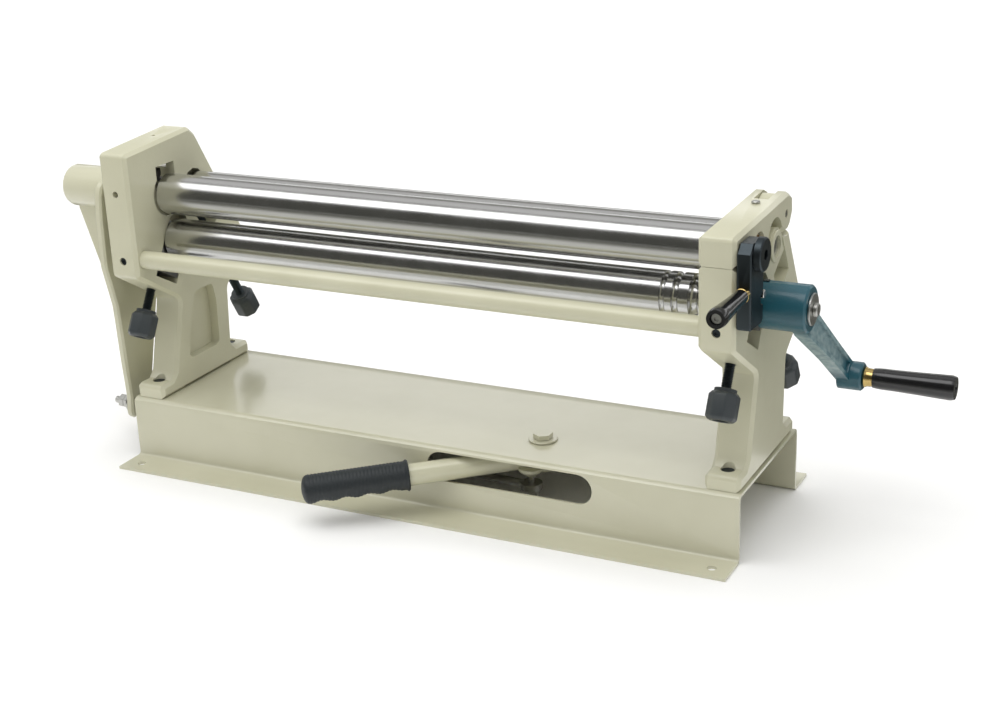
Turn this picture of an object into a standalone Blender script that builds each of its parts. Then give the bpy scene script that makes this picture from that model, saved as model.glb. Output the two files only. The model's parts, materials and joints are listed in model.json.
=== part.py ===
"""Bench slip roll: three rolls between two cast heads on a folded steel base.

The file builds every separate piece of the machine as one closed mesh with the name that its
node has in the record. Sizes are in metres. X runs along the rolls with + at the crank, -Y is
the operator's side and Z is up from the bench.
"""
import math

import bmesh
import bpy
from mathutils import Matrix, Vector

# Fits and round-piece fineness
FIT = 0.0003
SLIDE_FIT = 0.0005
SLOT_ROOM = 0.001
PLATE_ROOM = 0.0015
THROUGH = 0.002
LONG_THROUGH = 0.008
WELD = 0.000002
FINE = 24
ROUND = 24
COARSE = 16
SMALL = 12
ARC_STEP = 30.0
FINE_ARC_STEP = 15.0
BEND_STEP = 30.0
SHARP_ANGLE = math.radians(32)
STEEP_ANGLE = math.radians(20)
STRAIGHT_ANGLE = math.radians(2)
FLAT_ANGLE = math.radians(0.01)

# Rolls: the forming length between the heads drives every place along X
ROLL_HALF_LENGTH = 0.3068
ROLL_RADIUS = 0.0215
ROLL_CHAMFER = 0.0012
UPPER_AXIS = (-0.0388, 0.2882)
LOWER_AXIS = (-0.033, 0.2374)
REAR_AXIS = (0.0125, 0.2785)
FRONT_LEAN_ANGLE = math.radians(30)
REAR_LEAN_ANGLE = math.radians(30)
UPPER_NECK_RADIUS = 0.013
JOURNAL_RADIUS = 0.012
LOWER_JOURNAL_RADIUS = 0.010
REAR_JOURNAL_RADIUS = 0.010
UPPER_JOURNAL_SINK = 0.0032
REAR_JOURNAL_SINK = 0.0010
WIRE_GROOVE_INSETS = (0.0633, 0.0505, 0.0379)
WIRE_GROOVE_HALF_WIDTHS = (0.0024, 0.0021, 0.0017)
WIRE_GROOVE_FLOOR_SHARE = 0.45

# Heads: inner and outer faces and the cast edge
ROLL_END_GAP = 0.0012
HEAD_WIDTH = 0.035
HEAD_INNER_X = ROLL_HALF_LENGTH + ROLL_END_GAP
HEAD_OUTER_X = HEAD_INNER_X + HEAD_WIDTH
HEAD_MIDDLE_X = (HEAD_INNER_X + HEAD_OUTER_X) / 2
CAST_EDGE = 0.0035
HEAD_FRONT_Y = -0.102
HEAD_FRONT_BOTTOM_Z = 0.212
LEFT_TOP_FRONT_Z = 0.343
LEFT_TOP_REAR = (0.008, 0.3495)
LEFT_TOP_CHAMFER = (0.0199, 0.3397)
REAR_CORNER = (0.106, 0.190)
REAR_HOLLOW = (0.052, 0.1586)
PEDESTAL_REAR_FOOT = (0.048, 0.092)
PEDESTAL_FRONT_FOOT = (-0.056, 0.092)
PEDESTAL_FRONT_KNEE = (-0.039, 0.155)
FRONT_HOLLOW = (-0.0356, 0.1695)
PAD_REAR_Y = 0.080
PAD_FRONT_Y = -0.083
PAD_THICKNESS = 0.015
SLIT_HEIGHT = 0.002
SLIT_REAR_Y = 0.045
SLIT_FRONT_Y = -0.043
HOLLOW_FILLET = 0.008
CORNER_FILLET = 0.0045

# Base: one folded hat-shaped sheet with feet turned out
BASE_END_MARGIN = 0.0015
BASE_HALF_LENGTH = HEAD_OUTER_X + BASE_END_MARGIN
BASE_HALF_WIDTH = 0.0884
BASE_HEIGHT = 0.069
SHEET = 0.003
FLANGE_WIDTH = 0.0376
BEND_RADIUS = 0.0045
FOOT_HOLE_INSET_X = 0.0185
FOOT_HOLE_INSET_Y = 0.0160
FOOT_HOLE_RADIUS = 0.0045
LEVER_SLOT_LEFT_REACH = 0.1028
LEVER_SLOT_RIGHT_REACH = 0.0762
LEVER_SLOT_HEIGHT = 0.031
LEVER_SLOT_TOP_WALL = 0.005
LEVER_SLOT_END_SHARE = 0.98
BENCH_FACE_Y = -(BASE_HALF_WIDTH + FLANGE_WIDTH / 2)

# Window pocket in both faces of each pedestal
WINDOW = ((-0.0314, 0.0988), (0.0253, 0.0988), (0.0262, 0.150), (0.0219, 0.1705),
          (-0.0104, 0.1705), (-0.0185, 0.152))
WINDOW_FILLET = 0.006
WINDOW_DEPTH = 0.010

# Travel of the two adjustments, along each screw
FRONT_LIFT = 0.0100
FRONT_DROP = 0.0020
REAR_LIFT = 0.0080
REAR_DROP = 0.0250

# Sliding bearing blocks
BLOCK_HALF_WIDTH = 0.018
BLOCK_BOTTOM = 0.022
BLOCK_SLOT_ROOM = 0.0155
LEFT_PLATE_THICKNESS = 0.010
LEFT_FOOT_WALL = 0.007
LEFT_PLATE_OUTER_X = HEAD_INNER_X + LEFT_PLATE_THICKNESS
LEFT_FOOT_OUTER_X = HEAD_OUTER_X - LEFT_FOOT_WALL
LOWER_FOOT_TOP = 0.030
LOWER_FOOT_BOTTOM = 0.040
LOWER_SLOT_ROOM = 0.0040
LOWER_SLOT_END = LOWER_FOOT_BOTTOM + FRONT_DROP + LOWER_SLOT_ROOM
REAR_FOOT_TOP = 0.010
REAR_SLOT_ROOM = 0.0020
REAR_SLOT_END = BLOCK_BOTTOM + REAR_DROP + REAR_SLOT_ROOM
SCREW_SEAT_DEPTH = 0.006

# Adjusting screws and knobs
SCREW_X = HEAD_MIDDLE_X
SCREW_RADIUS = 0.005
SCREW_CHAMFER = 0.0005
FRONT_KNOB_START = 0.0815
REAR_KNOB_START = 0.165
KNOB_LENGTH = 0.030
KNOB_RADIUS = 0.0150
KNOB_SIDES = 8
KNOB_CHAMFER = 0.003
KNOB_NECK_RADIUS = 0.0105
KNOB_NECK_LENGTH = 0.003
KNOB_DISH_RADIUS = 0.0075
KNOB_DISH_DEPTH = 0.002
KNOB_GRIP_DEPTH = 0.020

# Gears and the recess that holds them in the left head
GEAR_TEETH = 9
GEAR_PITCH_RADIUS = 0.02175
GEAR_TIP_RADIUS = 0.0262
GEAR_ROOT_RADIUS = 0.0164
GEAR_PRESSURE_ANGLE = math.radians(25)
GEAR_BACKLASH = 0.002
GEAR_ROOT_SHARE = 0.75
GEAR_FLANK_STEPS = 2
GEAR_FACE_WIDTH = 0.014
GEAR_FLOOR_GAP = 0.005
RECESS_FLOOR_X = LEFT_PLATE_OUTER_X + SLIDE_FIT
GEAR_INNER_X = RECESS_FLOOR_X + GEAR_FLOOR_GAP
GEAR_OUTER_X = GEAR_INNER_X + GEAR_FACE_WIDTH
RECESS_HALF_LENGTH = 0.048
RECESS_DROP = 0.0047
RECESS_RISE = 0.0303
RECESS_GEAR_ROOM = 0.0028
ROLL_COUNTERBORE_RADIUS = 0.0235
ROLL_COUNTERBORE_DEPTH = 0.003
NECK_SLOT_HALF_WIDTH = 0.0155
NECK_SLOT_RISE = 0.0318

# Tie bar and the small screws of the heads
TIE_BAR_AXIS = (-0.088, 0.229)
TIE_BAR_RADIUS = 0.0096
TIE_BAR_ENGAGEMENT = 0.025
TIE_BAR_CHAMFER = 0.001
SET_SCREW_RADIUS = 0.0040
SET_SCREW_DEPTH = 0.0015
PAD_BOLT_Y = 0.066
PAD_BOLT_RADIUS = 0.0040
PAD_BOLT_HEAD_RADIUS = 0.0065
PAD_BOLT_HEAD_HEIGHT = 0.0060
PAD_BOLT_HEAD_DEPTH = 0.0075
PAD_BOLT_TAIL = 0.0085
OIL_HOLE_RADIUS = 0.0022
OIL_HOLE_DEPTH = 0.006
OIL_HOLE_Y = -0.030

# Release arm on the left
ARM_PIVOT_X = HEAD_MIDDLE_X
ARM_PIVOT_RISE = 0.0125
ARM_PIVOT_Z = UPPER_AXIS[1] + ARM_PIVOT_RISE
ARM_LEAN_ANGLE = math.radians(5)
ARM_HEAD_GAP = 0.010
ARM_FACE_X = HEAD_OUTER_X + ARM_HEAD_GAP
ARM_FACE_Z = 0.290
ARM_THICKNESS = 0.009
ARM_HALF_OUTLINE = ((0.0185, 0.026), (0.0185, 0.055), (0.026, 0.100), (0.035, 0.165),
                    (0.051, 0.215), (0.055, 0.270), (0.055, 0.310))
ARM_FILLETS = (0.009, 0.010, 0.030, 0.030, 0.030, 0.020, 0.016)
ARM_EDGE = 0.0020
ARM_BOSS_RADIUS = 0.0225
ARM_BOSS_LENGTH = 0.080
ARM_BOSS_END_X = ARM_FACE_X + ARM_BOSS_LENGTH
ARM_BOSS_EDGE = 0.005
ARM_BOSS_EDGE_SHARE = 0.3
ARM_BOSS_FLOOR = 0.014
ARM_BORE_END_X = ARM_BOSS_END_X - ARM_BOSS_FLOOR
ARM_BORE_LEAD = 0.0105
ARM_BUSH_SINK = 0.0027
ARM_EAR_INNER = 0.032
ARM_EAR_OUTER = 0.044
ARM_EAR_HALF_HEIGHT = 0.007
ARM_RIB_WIDTH = 0.010
ARM_RIB_END_INSET = 0.007
ARM_RIB_DROP = 0.0242
ARM_RIB_ROOT = 0.0105
ARM_RIB_FOOT_Z = 0.110
ARM_RIB_FOOT_DEPTH = 0.0081
ARM_SLOT_Y = -0.044
ARM_SLOT_HALF_WIDTH = 0.0068
ARM_SLOT_TOP_Z = 0.052
PIVOT_PIN_RADIUS = 0.0032
PIVOT_PIN_INNER = 0.0320
PIVOT_PIN_FRONT_END = 0.0567
PIVOT_PIN_REAR_END = 0.0740
BUSH_RADIUS = 0.0158

# Bearing cap, its hinge and its cradle in the right head
SPLIT_RISE = 0.0007
SPLIT_GAP = 0.0004
SPLIT_FRAME_Z = UPPER_AXIS[1] + SPLIT_RISE
SPLIT_CAP_Z = SPLIT_FRAME_Z + SPLIT_GAP
CAP_TOP_RISE = 0.0288
CAP_TOP_SLOPE_RISE = 0.0045
CAP_REAR_DROP = 0.0018
CAP_TOP_FRONT_Z = UPPER_AXIS[1] + CAP_TOP_RISE
CAP_TOP_REAR = (0.048, CAP_TOP_FRONT_Z + CAP_TOP_SLOPE_RISE)
CAP_REAR_UPPER = (0.0615, CAP_TOP_FRONT_Z - CAP_REAR_DROP)
CAP_REAR_LOWER = (0.0627, 0.2994)
HINGE_AXIS = (0.0424, 0.3017)
HINGE_KNUCKLE_RADIUS = 0.0183
HINGE_ROOM_RADIUS = 0.0212
HINGE_EAR_HALF_WIDTH = 0.0065
HINGE_EAR_ROOM = 0.0240
HINGE_FORK_REACH = 0.0480
HINGE_PIN_RADIUS = 0.004
CRADLE_RADIUS = 0.0161
CAP_BUSH_ROOM_RADIUS = 0.018
CAP_BLOCK_ROOM_RADIUS = 0.0213
CAP_PLUG_Y = 0.004
CAP_PLUG_RADIUS = 0.0042
CAP_PLUG_STEM_RADIUS = 0.0025
CAP_PLUG_STEM_LENGTH = 0.0042
CAP_PLUG_HEIGHT = 0.0022
CAP_PLUG_EDGE = 0.0010

# Latch on the outer face of the cap
LATCH_GAP = 0.0004
LATCH_THICKNESS = 0.0136
LATCH_INNER_X = HEAD_OUTER_X + LATCH_GAP
LATCH_OUTER_X = LATCH_INNER_X + LATCH_THICKNESS
LATCH_OUTLINE = ((-0.102, 0.234), (-0.071, 0.232), (-0.067, 0.236), (-0.067, 0.3115),
                 (-0.0935, 0.3115), (-0.102, 0.3035))
LATCH_FILLETS = (0.003, 0.0, 0.0, 0.004, 0.0, 0.0)
LATCH_EDGE = 0.0012
LATCH_NOTCH = ((-0.0600, 0.2485), (-0.0742, 0.2503), (-0.0742, 0.2592), (-0.0600, 0.2625))
LATCH_PIVOT = (-0.084, 0.300)
LATCH_SCREW_HEAD_RADIUS = 0.0155
LATCH_SCREW_HEAD_HEIGHT = 0.007
LATCH_SCREW_RADIUS = 0.005
LATCH_SCREW_DEPTH = 0.014
HEX_RADIUS = 0.0052
HEX_DEPTH = 0.004
LATCH_HANDLE_Z = 0.268
LATCH_HANDLE_X = LATCH_INNER_X + LATCH_THICKNESS / 2
LATCH_STUD_RADIUS = 0.0035
LATCH_STUD_DEPTH = 0.006
LATCH_FERRULE_RADIUS = 0.0068
LATCH_FERRULE_LENGTH = 0.006
LATCH_HANDLE_START_RADIUS = 0.0062
LATCH_HANDLE_END_RADIUS = 0.0092
LATCH_HANDLE_END_Y = -0.1733
LATCH_HANDLE_SINK_RADIUS = 0.0053
LATCH_HANDLE_SINK_DEPTH = 0.0044
LATCH_HANDLE_SWELL_SHARES = ((0, 0), (0.35, 0.1), (0.75, 0.88), (0.92, 1), (1, 0.64))
LATCH_HANDLE_SCREW_HEAD = 0.0025
KEEPER = (-0.0625, 0.257)
KEEPER_RADIUS = 0.004
KEEPER_DEPTH = 0.012
KEEPER_CHAMFER = 0.0005

# Crank
CRANK_HEAD_GAP = 0.0035
CRANK_HUB_RADIUS = 0.0222
CRANK_HUB_LENGTH = 0.0445
CRANK_HUB_EDGE = 0.0017
CRANK_HUB_START_X = HEAD_OUTER_X + CRANK_HEAD_GAP
CRANK_HUB_END_X = CRANK_HUB_START_X + CRANK_HUB_LENGTH
CRANK_ARM_LENGTH = 0.140
CRANK_ARM_ANGLE = math.radians(-44)
CRANK_ARM_SET_BACK = 0.0255
CRANK_ARM_INNER_X = CRANK_HUB_START_X + CRANK_ARM_SET_BACK
CRANK_ARM_SHIFT_X = 0.0200
CRANK_ARM_HUB_HALF_WIDTH = 0.0150
CRANK_ARM_END_HALF_WIDTH = 0.0095
CRANK_ARM_THICKNESS = 0.0140
CRANK_ARM_REACH_SHARES = (0, 0.22, 0.62, 1)
CRANK_ARM_SHIFT_SHARES = (0, 0, 0.55, 1)
CRANK_ARM_WIDTH_SHARES = (1, 0.836, 0.207, 0)
CRANK_GROOVE_DEPTH = 0.0028
CRANK_GROOVE_RIM = 0.0042
CRANK_BOSS_RADIUS = 0.0138
CRANK_BOSS_LENGTH = 0.0235
CRANK_BOSS_SET_BACK = 0.0195
CRANK_BOSS_START_X = CRANK_ARM_INNER_X + CRANK_BOSS_SET_BACK
CRANK_BOSS_END_X = CRANK_BOSS_START_X + CRANK_BOSS_LENGTH
CRANK_KEY_SIZE = 0.005
CRANK_KEY_RISE = 0.001
CRANK_WASHER_RADIUS = 0.0150
CRANK_WASHER_THICKNESS = 0.0022
CRANK_SCREW_RADIUS = 0.0040
CRANK_SCREW_HEAD_RADIUS = 0.0065
CRANK_SCREW_HEAD_HEIGHT = 0.0040
CRANK_SCREW_EDGE = 0.0012
CRANK_SCREW_LENGTH = 0.014
GRIP_STUD_RADIUS = 0.0040
GRIP_STUD_SHARE = 0.7
GRIP_FERRULE_RADIUS = 0.0100
GRIP_FERRULE_LENGTH = 0.0090
GRIP_LENGTH = 0.0775
GRIP_START_RADIUS = 0.0084
GRIP_END_RADIUS = 0.0136
GRIP_SWELL_SHARES = ((0, 0), (0.06, 0.11), (0.25, 0.27), (0.5, 0.58), (0.72, 0.88), (0.88, 1),
                     (0.96, 0.81), (1, 0.27))

# Release lever under the base plate
LEVER_PIVOT = (0.1208, -0.033)
LEVER_ANGLE = math.radians(215)
LEVER_DIP_ANGLE = math.radians(3)
LEVER_HUB_RADIUS = 0.0190
LEVER_HUB_FOOT_RADIUS = 0.0143
LEVER_HUB_CONE = 0.0060
LEVER_HUB_TOP_GAP = 0.0020
LEVER_HUB_HEIGHT = 0.0240
LEVER_HUB_TOP_Z = BASE_HEIGHT - SHEET - LEVER_HUB_TOP_GAP
LEVER_HUB_BOTTOM_Z = LEVER_HUB_TOP_Z - LEVER_HUB_HEIGHT
LEVER_TUBE_RADIUS = 0.0110
LEVER_TUBE_Z = (LEVER_HUB_TOP_Z + LEVER_HUB_BOTTOM_Z) / 2
LEVER_GRIP_START = 0.1360
LEVER_GRIP_LENGTH = 0.1070
LEVER_GRIP_END = LEVER_GRIP_START + LEVER_GRIP_LENGTH
LEVER_GRIP_CAP = 0.0030
LEVER_TUBE_END = LEVER_GRIP_END - LEVER_GRIP_CAP
LEVER_GRIP_RADIUS = 0.0155
LEVER_GRIP_LIP_RADIUS = 0.0142
LEVER_GRIP_EDGE = 0.0030
LEVER_GRIP_COLLAR = 0.0080
LEVER_GRIP_FINGERS = 4
LEVER_FINGER_RADIUS = 0.0150
LEVER_FINGER_DEPTH = 0.0018
PIVOT_BOLT_RADIUS = 0.0060
PIVOT_BOLT_HEAD_RADIUS = 0.0100
PIVOT_BOLT_HEAD_HEIGHT = 0.0050
PIVOT_WASHER_RADIUS = 0.0145
PIVOT_WASHER_THICKNESS = 0.0020
PIVOT_BOLT_DEPTH = 0.0195
PIVOT_BOLT_TIP_Z = LEVER_HUB_TOP_Z - PIVOT_BOLT_DEPTH
LINK_PIN_RADIUS_OUT = 0.018
LINK_PIN_ANGLE = math.radians(-110)
LINK_EAR_RADIUS = 0.0130
LINK_EAR_TOP_Z = 0.0460
LINK_EAR_CONE_Z = 0.0430
LINK_EAR_BOTTOM_Z = 0.0370
LINK_EAR_TIP_RADIUS = 0.0060
LINK_STEM_RADIUS = 0.0031
LINK_STEM_BOTTOM_Z = 0.0150
LINK_NUT_RADIUS = 0.0075
LINK_NUT_HEIGHT = 0.0060
ROD_EYE_RADIUS = 0.0110
ROD_EYE_TOP_Z = 0.0290
ROD_EYE_BOTTOM_Z = 0.0225
ROD_RADIUS = 0.0040
ROD_END_REACH = 0.0650
ROD_FOOT_REACH = 0.0320
ROD_FOOT = (-(HEAD_OUTER_X + ROD_FOOT_REACH), -0.0425, 0.0400)
ROD_WASHER_REACH = 0.0432
ROD_WASHER_RADIUS = 0.0105
ROD_WASHER_THICKNESS = 0.0020
ROD_NUT_RADIUS = 0.0078
ROD_NUT_THICKNESS = 0.0062

# Paint and metal shades, as linear colour, metal share and roughness share
FINISHES = {
    "cast_paint": ((0.56, 0.54, 0.46, 1.0), 0.0, 0.45),
    "base_paint": ((0.60, 0.59, 0.52, 1.0), 0.0, 0.42),
    "polished_steel": ((0.62, 0.63, 0.64, 1.0), 1.0, 0.22),
    "block_steel": ((0.30, 0.30, 0.31, 1.0), 1.0, 0.42),
    "gear_steel": ((0.24, 0.24, 0.25, 1.0), 1.0, 0.40),
    "black_steel": ((0.028, 0.028, 0.030, 1.0), 0.4, 0.38),
    "knob_grey": ((0.060, 0.062, 0.066, 1.0), 0.0, 0.48),
    "crank_paint": ((0.040, 0.165, 0.200, 1.0), 0.0, 0.40),
    "black_grip": ((0.020, 0.020, 0.022, 1.0), 0.0, 0.32),
    "black_rubber": ((0.022, 0.022, 0.024, 1.0), 0.0, 0.70),
    "brass": ((0.62, 0.42, 0.16, 1.0), 1.0, 0.30),
    "bronze": ((0.48, 0.30, 0.14, 1.0), 1.0, 0.38),
    "zinc": ((0.55, 0.55, 0.56, 1.0), 1.0, 0.36),
}

for stale in list(bpy.data.objects):
    bpy.data.objects.remove(stale, do_unlink=True)

scene = bpy.context.scene
scene.unit_settings.system = "METRIC"
machine = bpy.data.collections.new("Slip roll")
scene.collection.children.link(machine)
cutters = bpy.data.collections.new("Cutters")
scene.collection.children.link(cutters)
cutters.hide_render = True


def make_material(name, colour, metal_share, rough_share):
    """A plain Principled BSDF finish."""
    material = bpy.data.materials.new(name)
    material.use_nodes = True
    shader = material.node_tree.nodes["Principled BSDF"]
    shader.inputs["Base Color"].default_value = colour
    shader.inputs["Metallic"].default_value = metal_share
    shader.inputs["Roughness"].default_value = rough_share
    material.diffuse_color = colour
    return material


MATERIALS = {}
for finish_name, finish in FINISHES.items():
    MATERIALS[finish_name] = make_material(finish_name, *finish)


def in_world(point):
    """Moves a machine point so that the middle of the front flange is the world's origin."""
    return Vector((point[0], point[1] - BENCH_FACE_Y, point[2]))


def add_body(name, builder, placement, finish_name=None, pivot=None):
    """One closed mesh with its origin at the pivot; a body without a finish is a cutter."""
    centre = in_world(pivot) if pivot is not None else Vector((0, 0, 0))
    bmesh.ops.transform(builder, matrix=Matrix.Translation(-centre) @ placement,
                        verts=builder.verts)
    bmesh.ops.remove_doubles(builder, verts=builder.verts, dist=WELD)
    bmesh.ops.dissolve_limit(builder, angle_limit=FLAT_ANGLE, verts=[], edges=builder.edges)
    bmesh.ops.recalc_face_normals(builder, faces=builder.faces)
    mesh = bpy.data.meshes.new(name)
    builder.to_mesh(mesh)
    builder.free()
    body = bpy.data.objects.new(name, mesh)
    body.location = centre
    if finish_name is None:
        cutters.objects.link(body)
        body.hide_render = True
        body.display_type = "WIRE"
    else:
        machine.objects.link(body)
        mesh.materials.append(MATERIALS[finish_name])
        mesh.shade_smooth()
        mesh.set_sharp_from_angle(angle=SHARP_ANGLE)
    return body


def settle(drawn, name, placement, finish_name, pivot):
    """Makes a drawn curve or a turned profile one welded mesh, and takes the drawing away."""
    scene.collection.objects.link(drawn)
    depsgraph = bpy.context.evaluated_depsgraph_get()
    mesh = bpy.data.meshes.new_from_object(drawn.evaluated_get(depsgraph))
    builder = bmesh.new()
    builder.from_mesh(mesh)
    bpy.data.meshes.remove(mesh)
    bpy.data.objects.remove(drawn, do_unlink=True)
    return add_body(name, builder, placement, finish_name, pivot)


class Frame:
    """A drawing plane: origin, two axes of the drawing and the depth direction."""

    def __init__(self, origin, across, up, depth):
        self.origin = Vector(origin)
        self.across = Vector(across).normalized()
        self.up = Vector(up).normalized()
        self.depth = Vector(depth).normalized()

    def point(self, u, v, d):
        return self.origin + self.across * u + self.up * v + self.depth * d

    def placement(self, d=0):
        """The world matrix of the plane at a depth."""
        matrix = Matrix((self.across, self.up, self.depth)).transposed().to_4x4()
        matrix.translation = in_world(self.point(0, 0, d))
        return matrix


SIDE = Frame((0, 0, 0), (0, 1, 0), (0, 0, 1), (1, 0, 0))
FRONT = Frame((0, 0, 0), (1, 0, 0), (0, 0, 1), (0, 1, 0))
FRONT_UP = Vector((0, math.sin(FRONT_LEAN_ANGLE), math.cos(FRONT_LEAN_ANGLE)))
FRONT_ACROSS = Vector((0, math.cos(FRONT_LEAN_ANGLE), -math.sin(FRONT_LEAN_ANGLE)))
REAR_UP = Vector((0, -math.sin(REAR_LEAN_ANGLE), math.cos(REAR_LEAN_ANGLE)))
REAR_ACROSS = Vector((0, math.cos(REAR_LEAN_ANGLE), math.sin(REAR_LEAN_ANGLE)))
LOWER_SLIDE = Frame((0, LOWER_AXIS[0], LOWER_AXIS[1]), FRONT_ACROSS, FRONT_UP, (1, 0, 0))
REAR_SLIDE = Frame((0, REAR_AXIS[0], REAR_AXIS[1]), REAR_ACROSS, REAR_UP, (1, 0, 0))


def axis_frame(origin, axis):
    """A drawing frame whose depth runs along an axis."""
    along = Vector(axis).normalized()
    helper = Vector((0, 0, 1)) if abs(along.z) < math.cos(STEEP_ANGLE) else Vector((0, 1, 0))
    across = along.cross(helper).normalized()
    return Frame(origin, across, along.cross(across), along)


def arc(centre, radius, start_degrees, end_degrees, step=ARC_STEP):
    """Points on an arc, both ends included."""
    count = max(1, round(abs(end_degrees - start_degrees) / step))
    points = []
    for index in range(count + 1):
        angle = math.radians(start_degrees + (end_degrees - start_degrees) * index / count)
        points.append((centre[0] + radius * math.cos(angle),
                       centre[1] + radius * math.sin(angle)))
    return points


def polygon(radius, sides):
    """A regular polygon with the given corner radius."""
    turn = 360 / sides
    return arc((0, 0), radius, turn / 2, 360 - turn / 2, turn)


def rounded(corners, radii, step=ARC_STEP):
    """The closed outline with each corner rounded by its own radius."""
    points = []
    total = len(corners)
    for index, corner in enumerate(corners):
        radius = radii[index] if isinstance(radii, (list, tuple)) else radii
        here = Vector(corner)
        back = (Vector(corners[index - 1]) - here).normalized()
        ahead = (Vector(corners[(index + 1) % total]) - here).normalized()
        turn = math.pi - back.angle(ahead)
        if radius <= 0 or turn < STRAIGHT_ANGLE:
            points.append(tuple(here))
            continue
        reach = radius * math.tan(turn / 2)
        centre = here + (back + ahead).normalized() * radius / math.cos(turn / 2)
        start = here + back * reach - centre
        count = max(1, round(math.degrees(turn) / step))
        side = 1 if back.x * ahead.y - back.y * ahead.x < 0 else -1
        for part in range(count + 1):
            angle = side * turn * part / count
            spun = Vector((start.x * math.cos(angle) - start.y * math.sin(angle),
                           start.x * math.sin(angle) + start.y * math.cos(angle)))
            points.append(tuple(centre + spun))
    return points


def prism(name, outline, start, end, frame=SIDE, finish_name=None, pivot=None, edge=0, steps=1):
    """A flat outline with thickness along its frame's depth; edge rounds its two rims."""
    curve = bpy.data.curves.new(name, "CURVE")
    curve.dimensions = "2D"
    curve.fill_mode = "BOTH"
    curve.extrude = (end - start) / 2 - edge
    curve.bevel_depth = edge
    curve.bevel_resolution = steps - 1
    curve.offset = -edge
    spline = curve.splines.new("POLY")
    spline.points.add(len(outline) - 1)
    for point, (u, v) in zip(spline.points, outline):
        point.co = (u, v, 0, 1)
    spline.use_cyclic_u = True
    drawn = bpy.data.objects.new(name, curve)
    return settle(drawn, name, frame.placement((start + end) / 2), finish_name, pivot)


def lathe(name, profile, origin, axis, finish_name=None, pivot=None, count=ROUND, closed=False):
    """A profile of (distance along the axis, radius) points, turned once round the axis."""
    points = [(radius, 0, distance) for distance, radius in profile]
    if not closed:
        points = [(0, 0, profile[0][0])] + points + [(0, 0, profile[-1][0])]
    edges = [(index, index + 1) for index in range(len(points) - 1)]
    if closed:
        edges.append((len(points) - 1, 0))
    mesh = bpy.data.meshes.new(name)
    mesh.from_pydata(points, edges, [])
    drawn = bpy.data.objects.new(name, mesh)
    turn = drawn.modifiers.new("Turn", "SCREW")
    turn.angle = 2 * math.pi
    turn.steps = count
    turn.render_steps = count
    turn.use_merge_vertices = True
    turn.merge_threshold = WELD
    half_step = Matrix.Rotation(math.pi / count, 4, "Z")
    placement = axis_frame(origin, axis).placement() @ half_step
    return settle(drawn, name, placement, finish_name, pivot)


def rod(name, start, end, radius, finish_name=None, pivot=None, count=COARSE, chamfer=0):
    """A round bar between two points, with chamfered ends when asked for."""
    along = Vector(end) - Vector(start)
    builder = bmesh.new()
    bmesh.ops.create_cone(builder, cap_ends=True, segments=count, radius1=radius,
                          radius2=radius, depth=along.length)
    if chamfer > 0:
        rims = [edge for edge in builder.edges
                if abs(edge.verts[0].co.z - edge.verts[1].co.z) < WELD]
        bmesh.ops.bevel(builder, geom=rims, offset=chamfer, segments=1, affect="EDGES")
    return add_body(name, builder, axis_frame(start, along).placement(along.length / 2),
                    finish_name, pivot)


def ring(name, start, end, inner, outer, finish_name=None, pivot=None, count=ROUND):
    """A washer or bush between two points."""
    length = (Vector(end) - Vector(start)).length
    profile = [(0, inner), (0, outer), (length, outer), (length, inner)]
    return lathe(name, profile, start, Vector(end) - Vector(start), finish_name, pivot, count,
                 closed=True)


def loft(name, sections, finish_name=None, pivot=None):
    """A body through unlike sections with the same number of corners."""
    builder = bmesh.new()
    rings = [[builder.verts.new(point) for point in section] for section in sections]
    count = len(rings[0])
    for first, second in zip(rings, rings[1:]):
        for index in range(count):
            ahead = (index + 1) % count
            builder.faces.new([first[index], first[ahead], second[ahead], second[index]])
    builder.faces.new(rings[0])
    builder.faces.new(rings[-1])
    return add_body(name, builder, Matrix.Translation(in_world((0, 0, 0))), finish_name, pivot)


joins = []


def combine(body, tools, operation="DIFFERENCE"):
    """Notes each tool that is cut from the body or joined to it, in working order."""
    joins.extend((body, tool, operation) for tool in tools)
    return body


def nut(name, origin, axis, start, thickness, radius, bore, finish_name, pivot):
    """A hexagon nut from a distance along an axis, with a round bore."""
    frame = axis_frame(origin, axis)
    body = prism(name, polygon(radius, 6), start, start + thickness, frame, finish_name, pivot)
    hole = rod("cut_" + name, frame.point(0, 0, start - THROUGH),
               frame.point(0, 0, start + thickness + THROUGH), bore)
    return combine(body, [hole])


# Base channel
def sheet_outline(path, radius, thickness):
    """The outline of a folded sheet from its open middle line."""
    bent = rounded(path, [0] + [radius] * (len(path) - 2) + [0], BEND_STEP)
    left = []
    right = []
    for index, point in enumerate(bent):
        here = Vector(point)
        before = Vector(bent[max(index - 1, 0)])
        after = Vector(bent[min(index + 1, len(bent) - 1)])
        first = (here - before if index > 0 else after - here).normalized()
        second = (after - here if index < len(bent) - 1 else here - before).normalized()
        normal = Vector((-first.y - second.y, first.x + second.x)).normalized()
        lean = normal.dot(Vector((-first.y, first.x)))
        left.append(tuple(here + normal * thickness / 2 / lean))
        right.append(tuple(here - normal * thickness / 2 / lean))
    return left + list(reversed(right))


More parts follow.
